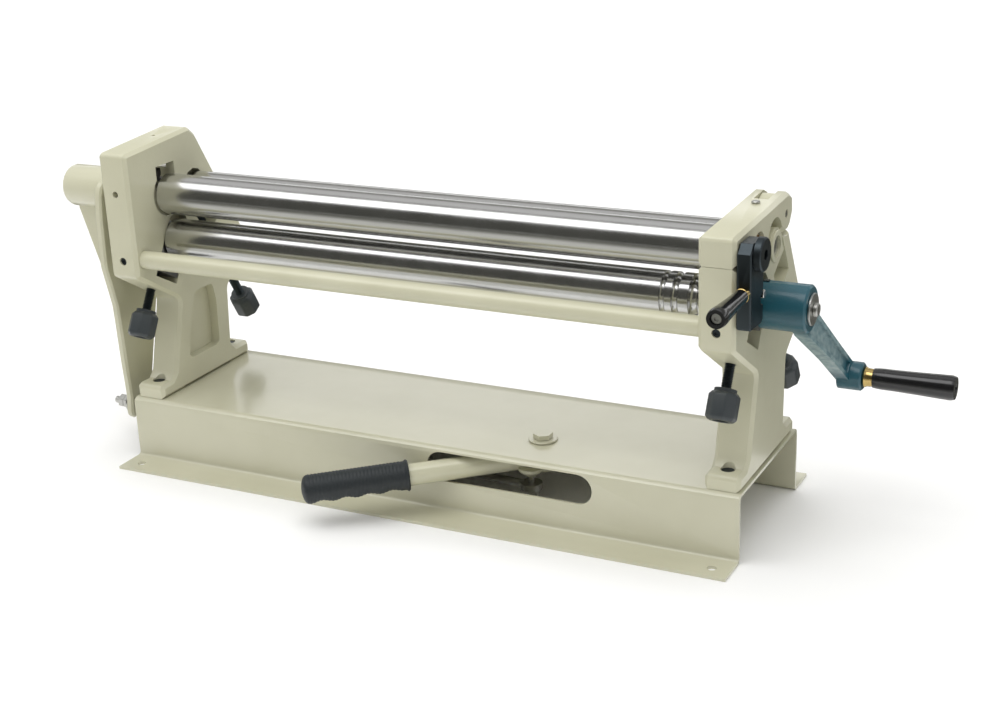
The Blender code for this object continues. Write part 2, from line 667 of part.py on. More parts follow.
half_sheet = SHEET / 2
web_middle = BASE_HALF_WIDTH - half_sheet
flange_edge = BASE_HALF_WIDTH + FLANGE_WIDTH
channel_path = [(-flange_edge, half_sheet), (-web_middle, half_sheet),
                (-web_middle, BASE_HEIGHT - half_sheet), (web_middle, BASE_HEIGHT - half_sheet),
                (web_middle, half_sheet), (flange_edge, half_sheet)]
base_channel = prism("base_channel", sheet_outline(channel_path, BEND_RADIUS, SHEET),
                     -BASE_HALF_LENGTH, BASE_HALF_LENGTH, SIDE, "base_paint")
slot_left = LEVER_PIVOT[0] - LEVER_SLOT_LEFT_REACH
slot_right = LEVER_PIVOT[0] + LEVER_SLOT_RIGHT_REACH
slot_top = BASE_HEIGHT - LEVER_SLOT_TOP_WALL
slot_bottom = slot_top - LEVER_SLOT_HEIGHT
slot_corners = [(slot_left, slot_bottom), (slot_right, slot_bottom), (slot_right, slot_top),
                (slot_left, slot_top)]
slot_fillet = LEVER_SLOT_HEIGHT / 2 * LEVER_SLOT_END_SHARE
base_cuts = [prism("cut_lever_slot", rounded(slot_corners, slot_fillet, FINE_ARC_STEP),
                   -BASE_HALF_WIDTH - THROUGH, -BASE_HALF_WIDTH + SHEET + THROUGH, FRONT)]
for side_x in (-1, 1):
    for side_y in (-1, 1):
        spot = (side_x * (BASE_HALF_LENGTH - FOOT_HOLE_INSET_X),
                side_y * (flange_edge - FOOT_HOLE_INSET_Y))
        base_cuts.append(rod("cut_foot_hole", (*spot, -THROUGH), (*spot, SHEET + THROUGH),
                             FOOT_HOLE_RADIUS, count=COARSE))
        spot = (side_x * SCREW_X, side_y * PAD_BOLT_Y)
        base_cuts.append(rod("cut_bolt_hole", (*spot, BASE_HEIGHT - SHEET - THROUGH),
                             (*spot, BASE_HEIGHT + THROUGH), PAD_BOLT_RADIUS + FIT, count=SMALL))
base_cuts.append(rod("cut_pivot_hole", (*LEVER_PIVOT, BASE_HEIGHT - SHEET - THROUGH),
                     (*LEVER_PIVOT, BASE_HEIGHT + THROUGH), PIVOT_BOLT_RADIUS + FIT))
combine(base_channel, base_cuts)

# Heads
pad_bottom = BASE_HEIGHT + FIT
pad_top = pad_bottom + PAD_THICKNESS
slit_top = pad_bottom + SLIT_HEIGHT
pedestal_corners = [
    (REAR_CORNER, CORNER_FILLET),
    (REAR_HOLLOW, HOLLOW_FILLET),
    (PEDESTAL_REAR_FOOT, 0.0),
    ((PEDESTAL_REAR_FOOT[0] + HOLLOW_FILLET, pad_top), 0.0),
    ((PAD_REAR_Y, pad_top), CORNER_FILLET),
    ((PAD_REAR_Y, pad_bottom), 0.0),
    ((PAD_FRONT_Y, pad_bottom), 0.0),
    ((PAD_FRONT_Y, pad_top), CORNER_FILLET),
    ((PEDESTAL_FRONT_FOOT[0] - HOLLOW_FILLET, pad_top), 0.0),
    (PEDESTAL_FRONT_FOOT, 0.0),
    (PEDESTAL_FRONT_KNEE, HOLLOW_FILLET),
    (FRONT_HOLLOW, HOLLOW_FILLET),
    ((HEAD_FRONT_Y, HEAD_FRONT_BOTTOM_Z), CORNER_FILLET),
]
left_corners = [
    ((HEAD_FRONT_Y, LEFT_TOP_FRONT_Z), CORNER_FILLET),
    (LEFT_TOP_REAR, CORNER_FILLET),
    (LEFT_TOP_CHAMFER, CORNER_FILLET),
] + pedestal_corners
rear_slope = (REAR_CORNER[0] - LEFT_TOP_CHAMFER[0]) / (LEFT_TOP_CHAMFER[1] - REAR_CORNER[1])


def rear_face_y(height):
    """The y of the sloping rear face of a head at a height."""
    return LEFT_TOP_CHAMFER[0] + (LEFT_TOP_CHAMFER[1] - height) * rear_slope


right_corners = [
    ((HEAD_FRONT_Y, SPLIT_FRAME_Z), 0.0),
    ((rear_face_y(SPLIT_FRAME_Z), SPLIT_FRAME_Z), 0.0),
] + pedestal_corners


def head_body(name, corners, sign):
    """One cast head from its corners; sign is +1 at the crank."""
    outline = rounded([corner for corner, _ in corners], [radius for _, radius in corners])
    first = min(sign * HEAD_INNER_X, sign * HEAD_OUTER_X)
    last = max(sign * HEAD_INNER_X, sign * HEAD_OUTER_X)
    return prism(name, outline, first, last, SIDE, "cast_paint", edge=CAST_EDGE)


def head_cuts(side, sign):
    """The cuts that both heads share: windows, bolt seats, tie bar and screw holes."""
    made = []
    window = rounded(WINDOW, WINDOW_FILLET)
    for face, inward in ((HEAD_INNER_X, 1), (HEAD_OUTER_X, -1)):
        depths = sorted((sign * (face - inward * THROUGH), sign * (face + inward * WINDOW_DEPTH)))
        made.append(prism("cut_window_" + side, window, depths[0], depths[1]))
    slit_outline = [(SLIT_FRONT_Y, pad_bottom - THROUGH), (SLIT_REAR_Y, pad_bottom - THROUGH),
                    (SLIT_REAR_Y, slit_top), (SLIT_FRONT_Y, slit_top)]
    depths = sorted((sign * (HEAD_INNER_X - THROUGH), sign * (HEAD_OUTER_X + THROUGH)))
    made.append(prism("cut_slit_" + side, slit_outline, depths[0], depths[1]))
    for side_y in (-1, 1):
        spot = (sign * SCREW_X, side_y * PAD_BOLT_Y)
        made.append(rod("cut_pad_bolt_" + side, (*spot, pad_bottom - THROUGH),
                        (*spot, pad_top + THROUGH), PAD_BOLT_RADIUS + FIT, count=SMALL))
        made.append(rod("cut_pad_seat_" + side, (*spot, pad_top - PAD_BOLT_HEAD_DEPTH),
                        (*spot, pad_top + LONG_THROUGH), PAD_BOLT_HEAD_RADIUS + SLIDE_FIT))
    made.append(rod("cut_tie_bar_" + side, (sign * (HEAD_INNER_X - THROUGH), *TIE_BAR_AXIS),
                    (sign * (HEAD_INNER_X + TIE_BAR_ENGAGEMENT + FIT), *TIE_BAR_AXIS),
                    TIE_BAR_RADIUS + FIT, count=ROUND))
    made.append(rod("cut_set_screw_" + side,
                    (sign * SCREW_X, HEAD_FRONT_Y - THROUGH, TIE_BAR_AXIS[1]),
                    (sign * SCREW_X, TIE_BAR_AXIS[0], TIE_BAR_AXIS[1]),
                    SET_SCREW_RADIUS + FIT, count=SMALL))
    return made


def slot_outline(bottom, top, half_width, step=ARC_STEP):
    """A slot drawn along its slide: flat at the bottom and round at the top."""
    return [(-half_width, -bottom), (half_width, -bottom)] + arc((0, top), half_width, 0, 180, step)


def screw_hole(name, frame, sign, start, end):
    """The clearance hole of an adjusting screw."""
    return rod(name, frame.point(0, -start, sign * SCREW_X), frame.point(0, -end, sign * SCREW_X),
               SCREW_RADIUS + SLIDE_FIT, count=COARSE)


slot_half = BLOCK_HALF_WIDTH + SLIDE_FIT
lower_slot_top = FRONT_LIFT + SLIDE_FIT
rear_slot_top = REAR_LIFT + SLIDE_FIT
front_hole_end = FRONT_KNOB_START - FRONT_LIFT
rear_hole_end = REAR_KNOB_START - REAR_LIFT

left_frame = head_body("left_frame", left_corners, -1)
left_cuts = head_cuts("left", -1)
gear_room = GEAR_TIP_RADIUS + RECESS_GEAR_ROOM
gear_low = LOWER_SLIDE.point(0, -FRONT_DROP, 0)
gear_high = LOWER_SLIDE.point(0, FRONT_LIFT, 0)
recess_front_y = UPPER_AXIS[0] - RECESS_HALF_LENGTH
recess_rear_y = UPPER_AXIS[0] + RECESS_HALF_LENGTH
recess_bottom_z = UPPER_AXIS[1] - RECESS_DROP
recess_top_z = UPPER_AXIS[1] + RECESS_RISE
recess_outline = [(recess_front_y, recess_top_z), (recess_front_y, recess_bottom_z),
                  (recess_rear_y, recess_bottom_z), (recess_rear_y, recess_top_z)]
pocket_outline = [(UPPER_AXIS[0] - gear_room, recess_bottom_z + THROUGH)]
pocket_outline += arc((gear_low.y, gear_low.z), gear_room, 180, 330)
pocket_outline += arc((gear_high.y, gear_high.z), gear_room, 330, 360)
pocket_outline.append((recess_rear_y - THROUGH, recess_bottom_z + THROUGH))
left_cuts.append(prism("cut_gear_recess", recess_outline, -HEAD_OUTER_X - THROUGH,
                       -RECESS_FLOOR_X))
left_cuts.append(prism("cut_gear_pocket", pocket_outline, -HEAD_OUTER_X - THROUGH,
                       -RECESS_FLOOR_X))
left_cuts.append(rod("cut_roll_counterbore", (-HEAD_INNER_X + THROUGH, *UPPER_AXIS),
                     (-HEAD_INNER_X - ROLL_COUNTERBORE_DEPTH, *UPPER_AXIS),
                     ROLL_COUNTERBORE_RADIUS, count=ROUND))
neck_slot_top_z = UPPER_AXIS[1] + NECK_SLOT_RISE
neck_slot = [(UPPER_AXIS[0] + NECK_SLOT_HALF_WIDTH, neck_slot_top_z),
             (UPPER_AXIS[0] - NECK_SLOT_HALF_WIDTH, neck_slot_top_z)]
neck_slot += arc(UPPER_AXIS, NECK_SLOT_HALF_WIDTH, 180, 360)
left_cuts.append(prism("cut_neck_slot", neck_slot, -RECESS_FLOOR_X - SLOT_ROOM,
                       -HEAD_INNER_X + THROUGH))
left_cuts.append(prism("cut_lower_slot_left",
                       slot_outline(LOWER_SLOT_END, lower_slot_top, slot_half),
                       -LEFT_PLATE_OUTER_X - PLATE_ROOM, -HEAD_INNER_X + THROUGH, LOWER_SLIDE))
foot_half = slot_half + FIT
foot_top = FRONT_LIFT - LOWER_FOOT_TOP + PLATE_ROOM
left_cuts.append(prism("cut_lower_foot",
                       [(-foot_half, -LOWER_SLOT_END - FIT), (foot_half, -LOWER_SLOT_END - FIT),
                        (foot_half, foot_top), (-foot_half, foot_top)],
                       -LEFT_FOOT_OUTER_X - SLOT_ROOM, -HEAD_INNER_X + LONG_THROUGH,
                       LOWER_SLIDE))
left_cuts.append(prism("cut_rear_slot_left",
                       slot_outline(REAR_SLOT_END, rear_slot_top, slot_half),
                       -LEFT_PLATE_OUTER_X - PLATE_ROOM, -HEAD_INNER_X + THROUGH, REAR_SLIDE))
foot_top = REAR_LIFT - REAR_FOOT_TOP + PLATE_ROOM
left_cuts.append(prism("cut_rear_foot",
                       [(-foot_half, -REAR_SLOT_END - FIT), (foot_half, -REAR_SLOT_END - FIT),
                        (foot_half, foot_top), (-foot_half, foot_top)],
                       -LEFT_FOOT_OUTER_X - SLOT_ROOM, -HEAD_INNER_X + LONG_THROUGH, REAR_SLIDE))
left_cuts.append(screw_hole("cut_front_screw_left", LOWER_SLIDE, -1, LOWER_FOOT_BOTTOM,
                            front_hole_end))
left_cuts.append(screw_hole("cut_rear_screw_left", REAR_SLIDE, -1, BLOCK_BOTTOM, rear_hole_end))
pin_front_y = UPPER_AXIS[0] - PIVOT_PIN_FRONT_END
pin_rear_y = UPPER_AXIS[0] + PIVOT_PIN_REAR_END
left_cuts.append(rod("cut_front_pin", (-ARM_PIVOT_X, HEAD_FRONT_Y - THROUGH, ARM_PIVOT_Z),
                     (-ARM_PIVOT_X, recess_front_y + THROUGH, ARM_PIVOT_Z),
                     PIVOT_PIN_RADIUS + FIT, count=SMALL))
left_cuts.append(rod("cut_rear_pin", (-ARM_PIVOT_X, recess_rear_y - THROUGH, ARM_PIVOT_Z),
                     (-ARM_PIVOT_X, rear_face_y(ARM_PIVOT_Z) + LONG_THROUGH, ARM_PIVOT_Z),
                     PIVOT_PIN_RADIUS + FIT, count=SMALL))
left_cuts.append(rod("cut_oil_hole", (-SCREW_X, OIL_HOLE_Y, LEFT_TOP_REAR[1] + THROUGH),
                     (-SCREW_X, OIL_HOLE_Y, LEFT_TOP_FRONT_Z - OIL_HOLE_DEPTH),
                     OIL_HOLE_RADIUS, count=SMALL))
combine(left_frame, left_cuts)

right_frame = head_body("right_frame", right_corners, 1)
ear_first = HEAD_MIDDLE_X - HINGE_EAR_HALF_WIDTH
ear_last = HEAD_MIDDLE_X + HINGE_EAR_HALF_WIDTH
ear_bottom = SPLIT_FRAME_Z - HINGE_KNUCKLE_RADIUS
ear_outline = [(rear_face_y(ear_bottom) - HINGE_KNUCKLE_RADIUS, ear_bottom),
               (rear_face_y(ear_bottom), ear_bottom)]
ear_outline += arc(HINGE_AXIS, HINGE_KNUCKLE_RADIUS, -30, 180)
ear_outline.append((HINGE_AXIS[0] - HINGE_KNUCKLE_RADIUS, ear_bottom + THROUGH))
ear_tool = prism("add_hinge_ear", ear_outline, ear_first, ear_last)
for first, last, label in ((HEAD_INNER_X - THROUGH, ear_first, "inner"),
                           (ear_last, HEAD_OUTER_X + THROUGH, "outer")):
    knuckle_room = rod("cut_knuckle_" + label, (first, *HINGE_AXIS), (last, *HINGE_AXIS),
                       HINGE_ROOM_RADIUS, count=FINE)
    combine(right_frame, [knuckle_room])
combine(right_frame, [ear_tool], "UNION")
right_cuts = head_cuts("right", 1)
right_cuts.append(prism("cut_lower_slot_right",
                        slot_outline(BLOCK_BOTTOM + FRONT_DROP + BLOCK_SLOT_ROOM,
                                     lower_slot_top, slot_half),
                        HEAD_INNER_X - THROUGH, HEAD_OUTER_X + THROUGH, LOWER_SLIDE))
right_cuts.append(prism("cut_rear_slot_right",
                        slot_outline(REAR_SLOT_END, rear_slot_top, slot_half),
                        HEAD_INNER_X - THROUGH, HEAD_OUTER_X + THROUGH, REAR_SLIDE))
cradle = arc(UPPER_AXIS, CRADLE_RADIUS, 180, 360, FINE_ARC_STEP)
cradle += [(UPPER_AXIS[0] + CRADLE_RADIUS, SPLIT_FRAME_Z + THROUGH),
           (UPPER_AXIS[0] - CRADLE_RADIUS, SPLIT_FRAME_Z + THROUGH)]
right_cuts.append(prism("cut_cradle", cradle, HEAD_INNER_X - THROUGH, HEAD_OUTER_X + THROUGH))
right_cuts.append(screw_hole("cut_front_screw_right", LOWER_SLIDE, 1, BLOCK_BOTTOM,
                             front_hole_end))
right_cuts.append(screw_hole("cut_rear_screw_right", REAR_SLIDE, 1, BLOCK_BOTTOM, rear_hole_end))
right_cuts.append(rod("cut_hinge_pin_frame", (ear_first - THROUGH, *HINGE_AXIS),
                      (ear_last + THROUGH, *HINGE_AXIS), HINGE_PIN_RADIUS + FIT))
right_cuts.append(rod("cut_keeper", (HEAD_OUTER_X + THROUGH, *KEEPER),
                      (HEAD_OUTER_X - KEEPER_DEPTH - FIT, *KEEPER), KEEPER_RADIUS + FIT))
combine(right_frame, right_cuts)

# Tie bar and the heads' screws
tie_end = HEAD_INNER_X + TIE_BAR_ENGAGEMENT
tie_bar = rod("tie_bar", (-tie_end, *TIE_BAR_AXIS), (tie_end, *TIE_BAR_AXIS), TIE_BAR_RADIUS,
              "cast_paint", count=ROUND, chamfer=TIE_BAR_CHAMFER)
for side, sign in (("left", -1), ("right", 1)):
    screw_front = HEAD_FRONT_Y + SET_SCREW_DEPTH
    screw_back = TIE_BAR_AXIS[0] - TIE_BAR_RADIUS - FIT
    length = screw_back - screw_front
    socket = SET_SCREW_RADIUS / 2
    lathe("tie_bar_screw_" + side, [(length / 2, socket), (0, socket), (0, SET_SCREW_RADIUS),
                                    (length, SET_SCREW_RADIUS)],
          (sign * SCREW_X, screw_front, TIE_BAR_AXIS[1]), (0, 1, 0), "black_steel", count=SMALL)
    for end, side_y in (("front", -1), ("rear", 1)):
        spot = (sign * SCREW_X, side_y * PAD_BOLT_Y)
        head_bottom = pad_top - PAD_BOLT_HEAD_DEPTH + FIT
        head_top = head_bottom + PAD_BOLT_HEAD_HEIGHT
        tip = BASE_HEIGHT - SHEET - PAD_BOLT_TAIL
        lathe("pad_bolt_" + side + "_" + end,
              [(tip, PAD_BOLT_RADIUS), (head_bottom, PAD_BOLT_RADIUS),
               (head_bottom, PAD_BOLT_HEAD_RADIUS), (head_top, PAD_BOLT_HEAD_RADIUS)],
              (*spot, 0), (0, 0, 1), "black_steel", count=SMALL)

# Pins of the release arm in the left head
rod("arm_pin_front", (-ARM_PIVOT_X, pin_front_y, ARM_PIVOT_Z),
    (-ARM_PIVOT_X, UPPER_AXIS[0] - PIVOT_PIN_INNER, ARM_PIVOT_Z), PIVOT_PIN_RADIUS,
    "polished_steel", count=SMALL)
rod("arm_pin_rear", (-ARM_PIVOT_X, UPPER_AXIS[0] + PIVOT_PIN_INNER, ARM_PIVOT_Z),
    (-ARM_PIVOT_X, pin_rear_y, ARM_PIVOT_Z), PIVOT_PIN_RADIUS, "polished_steel", count=SMALL)


# Gears
def gear_outline(spin):
    """Long pointed involute teeth, with play for the changing centre distance."""
    base_radius = GEAR_PITCH_RADIUS * math.cos(GEAR_PRESSURE_ANGLE)
    involute = math.tan(GEAR_PRESSURE_ANGLE) - GEAR_PRESSURE_ANGLE
    half = math.pi / (2 * GEAR_TEETH) - GEAR_BACKLASH / (2 * GEAR_PITCH_RADIUS) + involute
    outline = []
    for tooth in range(GEAR_TEETH):
        centre = spin + 2 * math.pi * tooth / GEAR_TEETH
        flank = [(GEAR_ROOT_RADIUS, half * GEAR_ROOT_SHARE)]
        for step in range(GEAR_FLANK_STEPS + 1):
            radius = base_radius + (GEAR_TIP_RADIUS - base_radius) * step / GEAR_FLANK_STEPS
            roll = math.acos(min(1, base_radius / radius))
            flank.append((radius, half - math.tan(roll) + roll))
        outline += [(radius, centre - angle) for radius, angle in flank]
        outline += [(radius, centre + angle) for radius, angle in reversed(flank)]
    return [(radius * math.cos(angle), radius * math.sin(angle)) for radius, angle in outline]


def make_gear(name, axis_yz, spin, bore, finish_name, pivot):
    """A gear as a ring between its outline and its bore."""
    frame = Frame((0, axis_yz[0], axis_yz[1]), (0, 1, 0), (0, 0, 1), (1, 0, 0))
    gear = prism(name, gear_outline(spin), -GEAR_OUTER_X, -GEAR_INNER_X, frame, finish_name,
                 pivot)
    hole = rod("cut_" + name, (-GEAR_OUTER_X - THROUGH, *axis_yz),
               (-GEAR_INNER_X + THROUGH, *axis_yz), bore)
    return combine(gear, [hole])


closed_centre = LOWER_SLIDE.point(0, FRONT_LIFT, 0)
mesh_line = math.atan2(UPPER_AXIS[1] - closed_centre.z, UPPER_AXIS[0] - closed_centre.y)
half_tooth = math.pi / GEAR_TEETH
lower_gear = make_gear("lower_gear", LOWER_AXIS, mesh_line, LOWER_JOURNAL_RADIUS + FIT,
                       "gear_steel", (0, *LOWER_AXIS))
upper_gear = make_gear("upper_gear", UPPER_AXIS, mesh_line + math.pi + half_tooth,
                       UPPER_NECK_RADIUS + FIT, "gear_steel", (0, *UPPER_AXIS))

# Rolls
journal_left_x = GEAR_OUTER_X + THROUGH
lower_profile = [(-journal_left_x, LOWER_JOURNAL_RADIUS),
                 (-ROLL_HALF_LENGTH, LOWER_JOURNAL_RADIUS),
                 (-ROLL_HALF_LENGTH, ROLL_RADIUS - ROLL_CHAMFER),
                 (-ROLL_HALF_LENGTH + ROLL_CHAMFER, ROLL_RADIUS)]
for groove_inset, half_width in zip(WIRE_GROOVE_INSETS, WIRE_GROOVE_HALF_WIDTHS):
    groove_x = ROLL_HALF_LENGTH - groove_inset
    floor_half = half_width * WIRE_GROOVE_FLOOR_SHARE
    lower_profile += [(groove_x - half_width, ROLL_RADIUS),
                      (groove_x - floor_half, ROLL_RADIUS - half_width),
                      (groove_x + floor_half, ROLL_RADIUS - half_width),
                      (groove_x + half_width, ROLL_RADIUS)]
crank_journal_end = CRANK_HUB_END_X - THROUGH
lower_profile += [(ROLL_HALF_LENGTH - ROLL_CHAMFER, ROLL_RADIUS),
                  (ROLL_HALF_LENGTH, ROLL_RADIUS - ROLL_CHAMFER),
                  (ROLL_HALF_LENGTH, LOWER_JOURNAL_RADIUS),
                  (crank_journal_end, LOWER_JOURNAL_RADIUS)]
lower_roll = lathe("lower_roll", lower_profile, (0, *LOWER_AXIS), (1, 0, 0), "polished_steel",
                   (0, *LOWER_AXIS), FINE)
bush_left_start_x = ARM_FACE_X + ARM_BUSH_SINK
upper_left_end_x = ARM_BORE_END_X - THROUGH
upper_right_end_x = HEAD_OUTER_X - UPPER_JOURNAL_SINK
upper_profile = [(-upper_left_end_x, JOURNAL_RADIUS),
                 (-GEAR_OUTER_X - THROUGH, JOURNAL_RADIUS),
                 (-GEAR_OUTER_X - THROUGH, UPPER_NECK_RADIUS),
                 (-ROLL_HALF_LENGTH, UPPER_NECK_RADIUS),
                 (-ROLL_HALF_LENGTH, ROLL_RADIUS - ROLL_CHAMFER),
                 (-ROLL_HALF_LENGTH + ROLL_CHAMFER, ROLL_RADIUS),
                 (ROLL_HALF_LENGTH - ROLL_CHAMFER, ROLL_RADIUS),
                 (ROLL_HALF_LENGTH, ROLL_RADIUS - ROLL_CHAMFER),
                 (ROLL_HALF_LENGTH, JOURNAL_RADIUS),
                 (upper_right_end_x, JOURNAL_RADIUS)]
upper_roll = lathe("upper_roll", upper_profile, (0, *UPPER_AXIS), (1, 0, 0), "polished_steel",
                   (0, *UPPER_AXIS), FINE)
rear_right_end_x = HEAD_OUTER_X - REAR_JOURNAL_SINK
rear_profile = [(-LEFT_PLATE_OUTER_X + FIT, REAR_JOURNAL_RADIUS),
                (-ROLL_HALF_LENGTH, REAR_JOURNAL_RADIUS),
                (-ROLL_HALF_LENGTH, ROLL_RADIUS - ROLL_CHAMFER),
                (-ROLL_HALF_LENGTH + ROLL_CHAMFER, ROLL_RADIUS),
                (ROLL_HALF_LENGTH - ROLL_CHAMFER, ROLL_RADIUS),
                (ROLL_HALF_LENGTH, ROLL_RADIUS - ROLL_CHAMFER),
                (ROLL_HALF_LENGTH, REAR_JOURNAL_RADIUS),
                (rear_right_end_x, REAR_JOURNAL_RADIUS)]
rear_roll = lathe("rear_roll", rear_profile, (0, *REAR_AXIS), (1, 0, 0), "polished_steel",
                  (0, *REAR_AXIS), FINE)
ring("upper_bush_left", (-bush_left_start_x, *UPPER_AXIS), (-ARM_BORE_END_X + FIT, *UPPER_AXIS),
     JOURNAL_RADIUS + FIT, BUSH_RADIUS, "bronze")
ring("upper_bush_right", (HEAD_INNER_X + SLIDE_FIT, *UPPER_AXIS), (upper_right_end_x, *UPPER_AXIS),
     JOURNAL_RADIUS + FIT, BUSH_RADIUS, "bronze")


# Sliding blocks
def block_outline(bottom):
    """A bearing block seen along the roll: round on top, flat below."""
    return slot_outline(bottom, 0, BLOCK_HALF_WIDTH)


def make_block(name, frame, sign, bore, foot_range):
    """A block on its slide, with the roll's bore and the screw's seat."""
    top, bottom = foot_range
    outer_x = HEAD_OUTER_X - SLOT_ROOM if sign > 0 else LEFT_FOOT_OUTER_X
    first, last = sorted((sign * (HEAD_INNER_X + SLIDE_FIT), sign * outer_x))
    block = prism(name, block_outline(bottom), first, last, frame, "block_steel",
                  tuple(frame.origin))
    if sign < 0:
        reach = BLOCK_HALF_WIDTH + THROUGH
        step = prism("cut_step_" + name,
                     [(-reach, -top), (reach, -top), (reach, reach), (-reach, reach)],
                     -LEFT_FOOT_OUTER_X - THROUGH, -LEFT_PLATE_OUTER_X, frame)
        combine(block, [step])
    hole = rod("cut_bore_" + name, frame.point(0, 0, first - THROUGH),
               frame.point(0, 0, last + THROUGH), bore, count=ROUND)
    seat = rod("cut_seat_" + name, frame.point(0, -bottom - THROUGH, sign * SCREW_X),
               frame.point(0, -bottom + SCREW_SEAT_DEPTH, sign * SCREW_X), SCREW_RADIUS + FIT)
    return combine(block, [hole, seat])


lower_block_left = make_block("lower_block_left", LOWER_SLIDE, -1, LOWER_JOURNAL_RADIUS + FIT,
                              (LOWER_FOOT_TOP, LOWER_FOOT_BOTTOM))
lower_block_right = make_block("lower_block_right", LOWER_SLIDE, 1, LOWER_JOURNAL_RADIUS + FIT,
                               (0, BLOCK_BOTTOM))
rear_block_left = make_block("rear_block_left", REAR_SLIDE, -1, REAR_JOURNAL_RADIUS + FIT,
                             (REAR_FOOT_TOP, BLOCK_BOTTOM))
rear_block_right = make_block("rear_block_right", REAR_SLIDE, 1, REAR_JOURNAL_RADIUS + FIT,
                              (0, BLOCK_BOTTOM))


# Adjusting screws and knobs
def make_adjuster(prefix, side, frame, sign, block_bottom, knob_start):
    """One threaded rod with its eight-sided knob."""
    tip = block_bottom - SCREW_SEAT_DEPTH + FIT
    origin = frame.point(0, 0, sign * SCREW_X)
    down = -frame.up
    screw_end = knob_start + KNOB_GRIP_DEPTH
    rod(prefix + "_screw_" + side, origin + down * tip, origin + down * screw_end, SCREW_RADIUS,
        "black_steel", tuple(origin), COARSE, SCREW_CHAMFER)
    knob_frame = axis_frame(origin, down)
    knob_end = knob_start + KNOB_LENGTH
    apothem_share = math.cos(math.pi / KNOB_SIDES)
    outline = polygon(KNOB_RADIUS, KNOB_SIDES)
    knob = prism(prefix + "_knob_" + side, outline, knob_start + KNOB_NECK_LENGTH, knob_end,
                 knob_frame, "knob_grey", tuple(origin), KNOB_CHAMFER * apothem_share, 1)
    neck = lathe("add_neck_" + prefix + side,
                 [(knob_start, KNOB_NECK_RADIUS),
                  (knob_start + KNOB_NECK_LENGTH + KNOB_CHAMFER, KNOB_NECK_RADIUS)],
                 origin, down, count=SMALL)
    combine(knob, [neck], "UNION")
    bore = lathe("cut_knob_bore_" + prefix + side,
                 [(knob_start - THROUGH, SCREW_RADIUS + FIT),
                  (screw_end + FIT, SCREW_RADIUS + FIT)],
                 origin, down, count=SMALL)
    dish = lathe("cut_knob_dish_" + prefix + side,
                 [(knob_end - KNOB_DISH_DEPTH, KNOB_DISH_RADIUS),
                  (knob_end + THROUGH, KNOB_DISH_RADIUS)],
                 origin, down, count=SMALL)
    combine(knob, [bore, dish])


for side, sign, bottom in (("left", -1, LOWER_FOOT_BOTTOM), ("right", 1, BLOCK_BOTTOM)):
    make_adjuster("front", side, LOWER_SLIDE, sign, bottom, FRONT_KNOB_START)
for side, sign in (("left", -1), ("right", 1)):
    make_adjuster("rear", side, REAR_SLIDE, sign, BLOCK_BOTTOM, REAR_KNOB_START)

# Release arm
arm_pivot = (-ARM_PIVOT_X, UPPER_AXIS[0], ARM_PIVOT_Z)
arm_plate = Frame((-ARM_FACE_X, UPPER_AXIS[0], ARM_FACE_Z), (0, 1, 0),
                  (math.sin(ARM_LEAN_ANGLE), 0, math.cos(ARM_LEAN_ANGLE)),
                  (-math.cos(ARM_LEAN_ANGLE), 0, math.sin(ARM_LEAN_ANGLE)))


def up_arm(height):
    """The distance along the leaning plate of a height above the bench."""
    return (height - ARM_FACE_Z) / math.cos(ARM_LEAN_ANGLE)


arm_right = [(half, up_arm(height)) for half, height in ARM_HALF_OUTLINE]
arm_left = [(-half, height) for half, height in reversed(arm_right)]
arm_outline = rounded(arm_right + arm_left, list(ARM_FILLETS) + list(reversed(ARM_FILLETS)))
release_arm = prism("release_arm", arm_outline, 0, ARM_THICKNESS, arm_plate, "cast_paint",
                    arm_pivot, ARM_EDGE, 1)
boss_start_x = ARM_FACE_X + ARM_THICKNESS / 2
boss_blend = ARM_BOSS_EDGE * ARM_BOSS_EDGE_SHARE
boss = lathe("add_arm_boss",
             [(boss_start_x, ARM_BOSS_RADIUS), (ARM_BOSS_END_X - ARM_BOSS_EDGE, ARM_BOSS_RADIUS),
              (ARM_BOSS_END_X - boss_blend, ARM_BOSS_RADIUS - boss_blend),
              (ARM_BOSS_END_X, ARM_BOSS_RADIUS - ARM_BOSS_EDGE)],
             (0, *UPPER_AXIS), (-1, 0, 0), count=ROUND)
rib_half = ARM_RIB_WIDTH / 2


def arm_back_x(height, depth):
    """The x of the leaning plate at a height, a depth behind its inner face."""
    return -ARM_FACE_X - (ARM_FACE_Z - height) * math.tan(ARM_LEAN_ANGLE) - depth


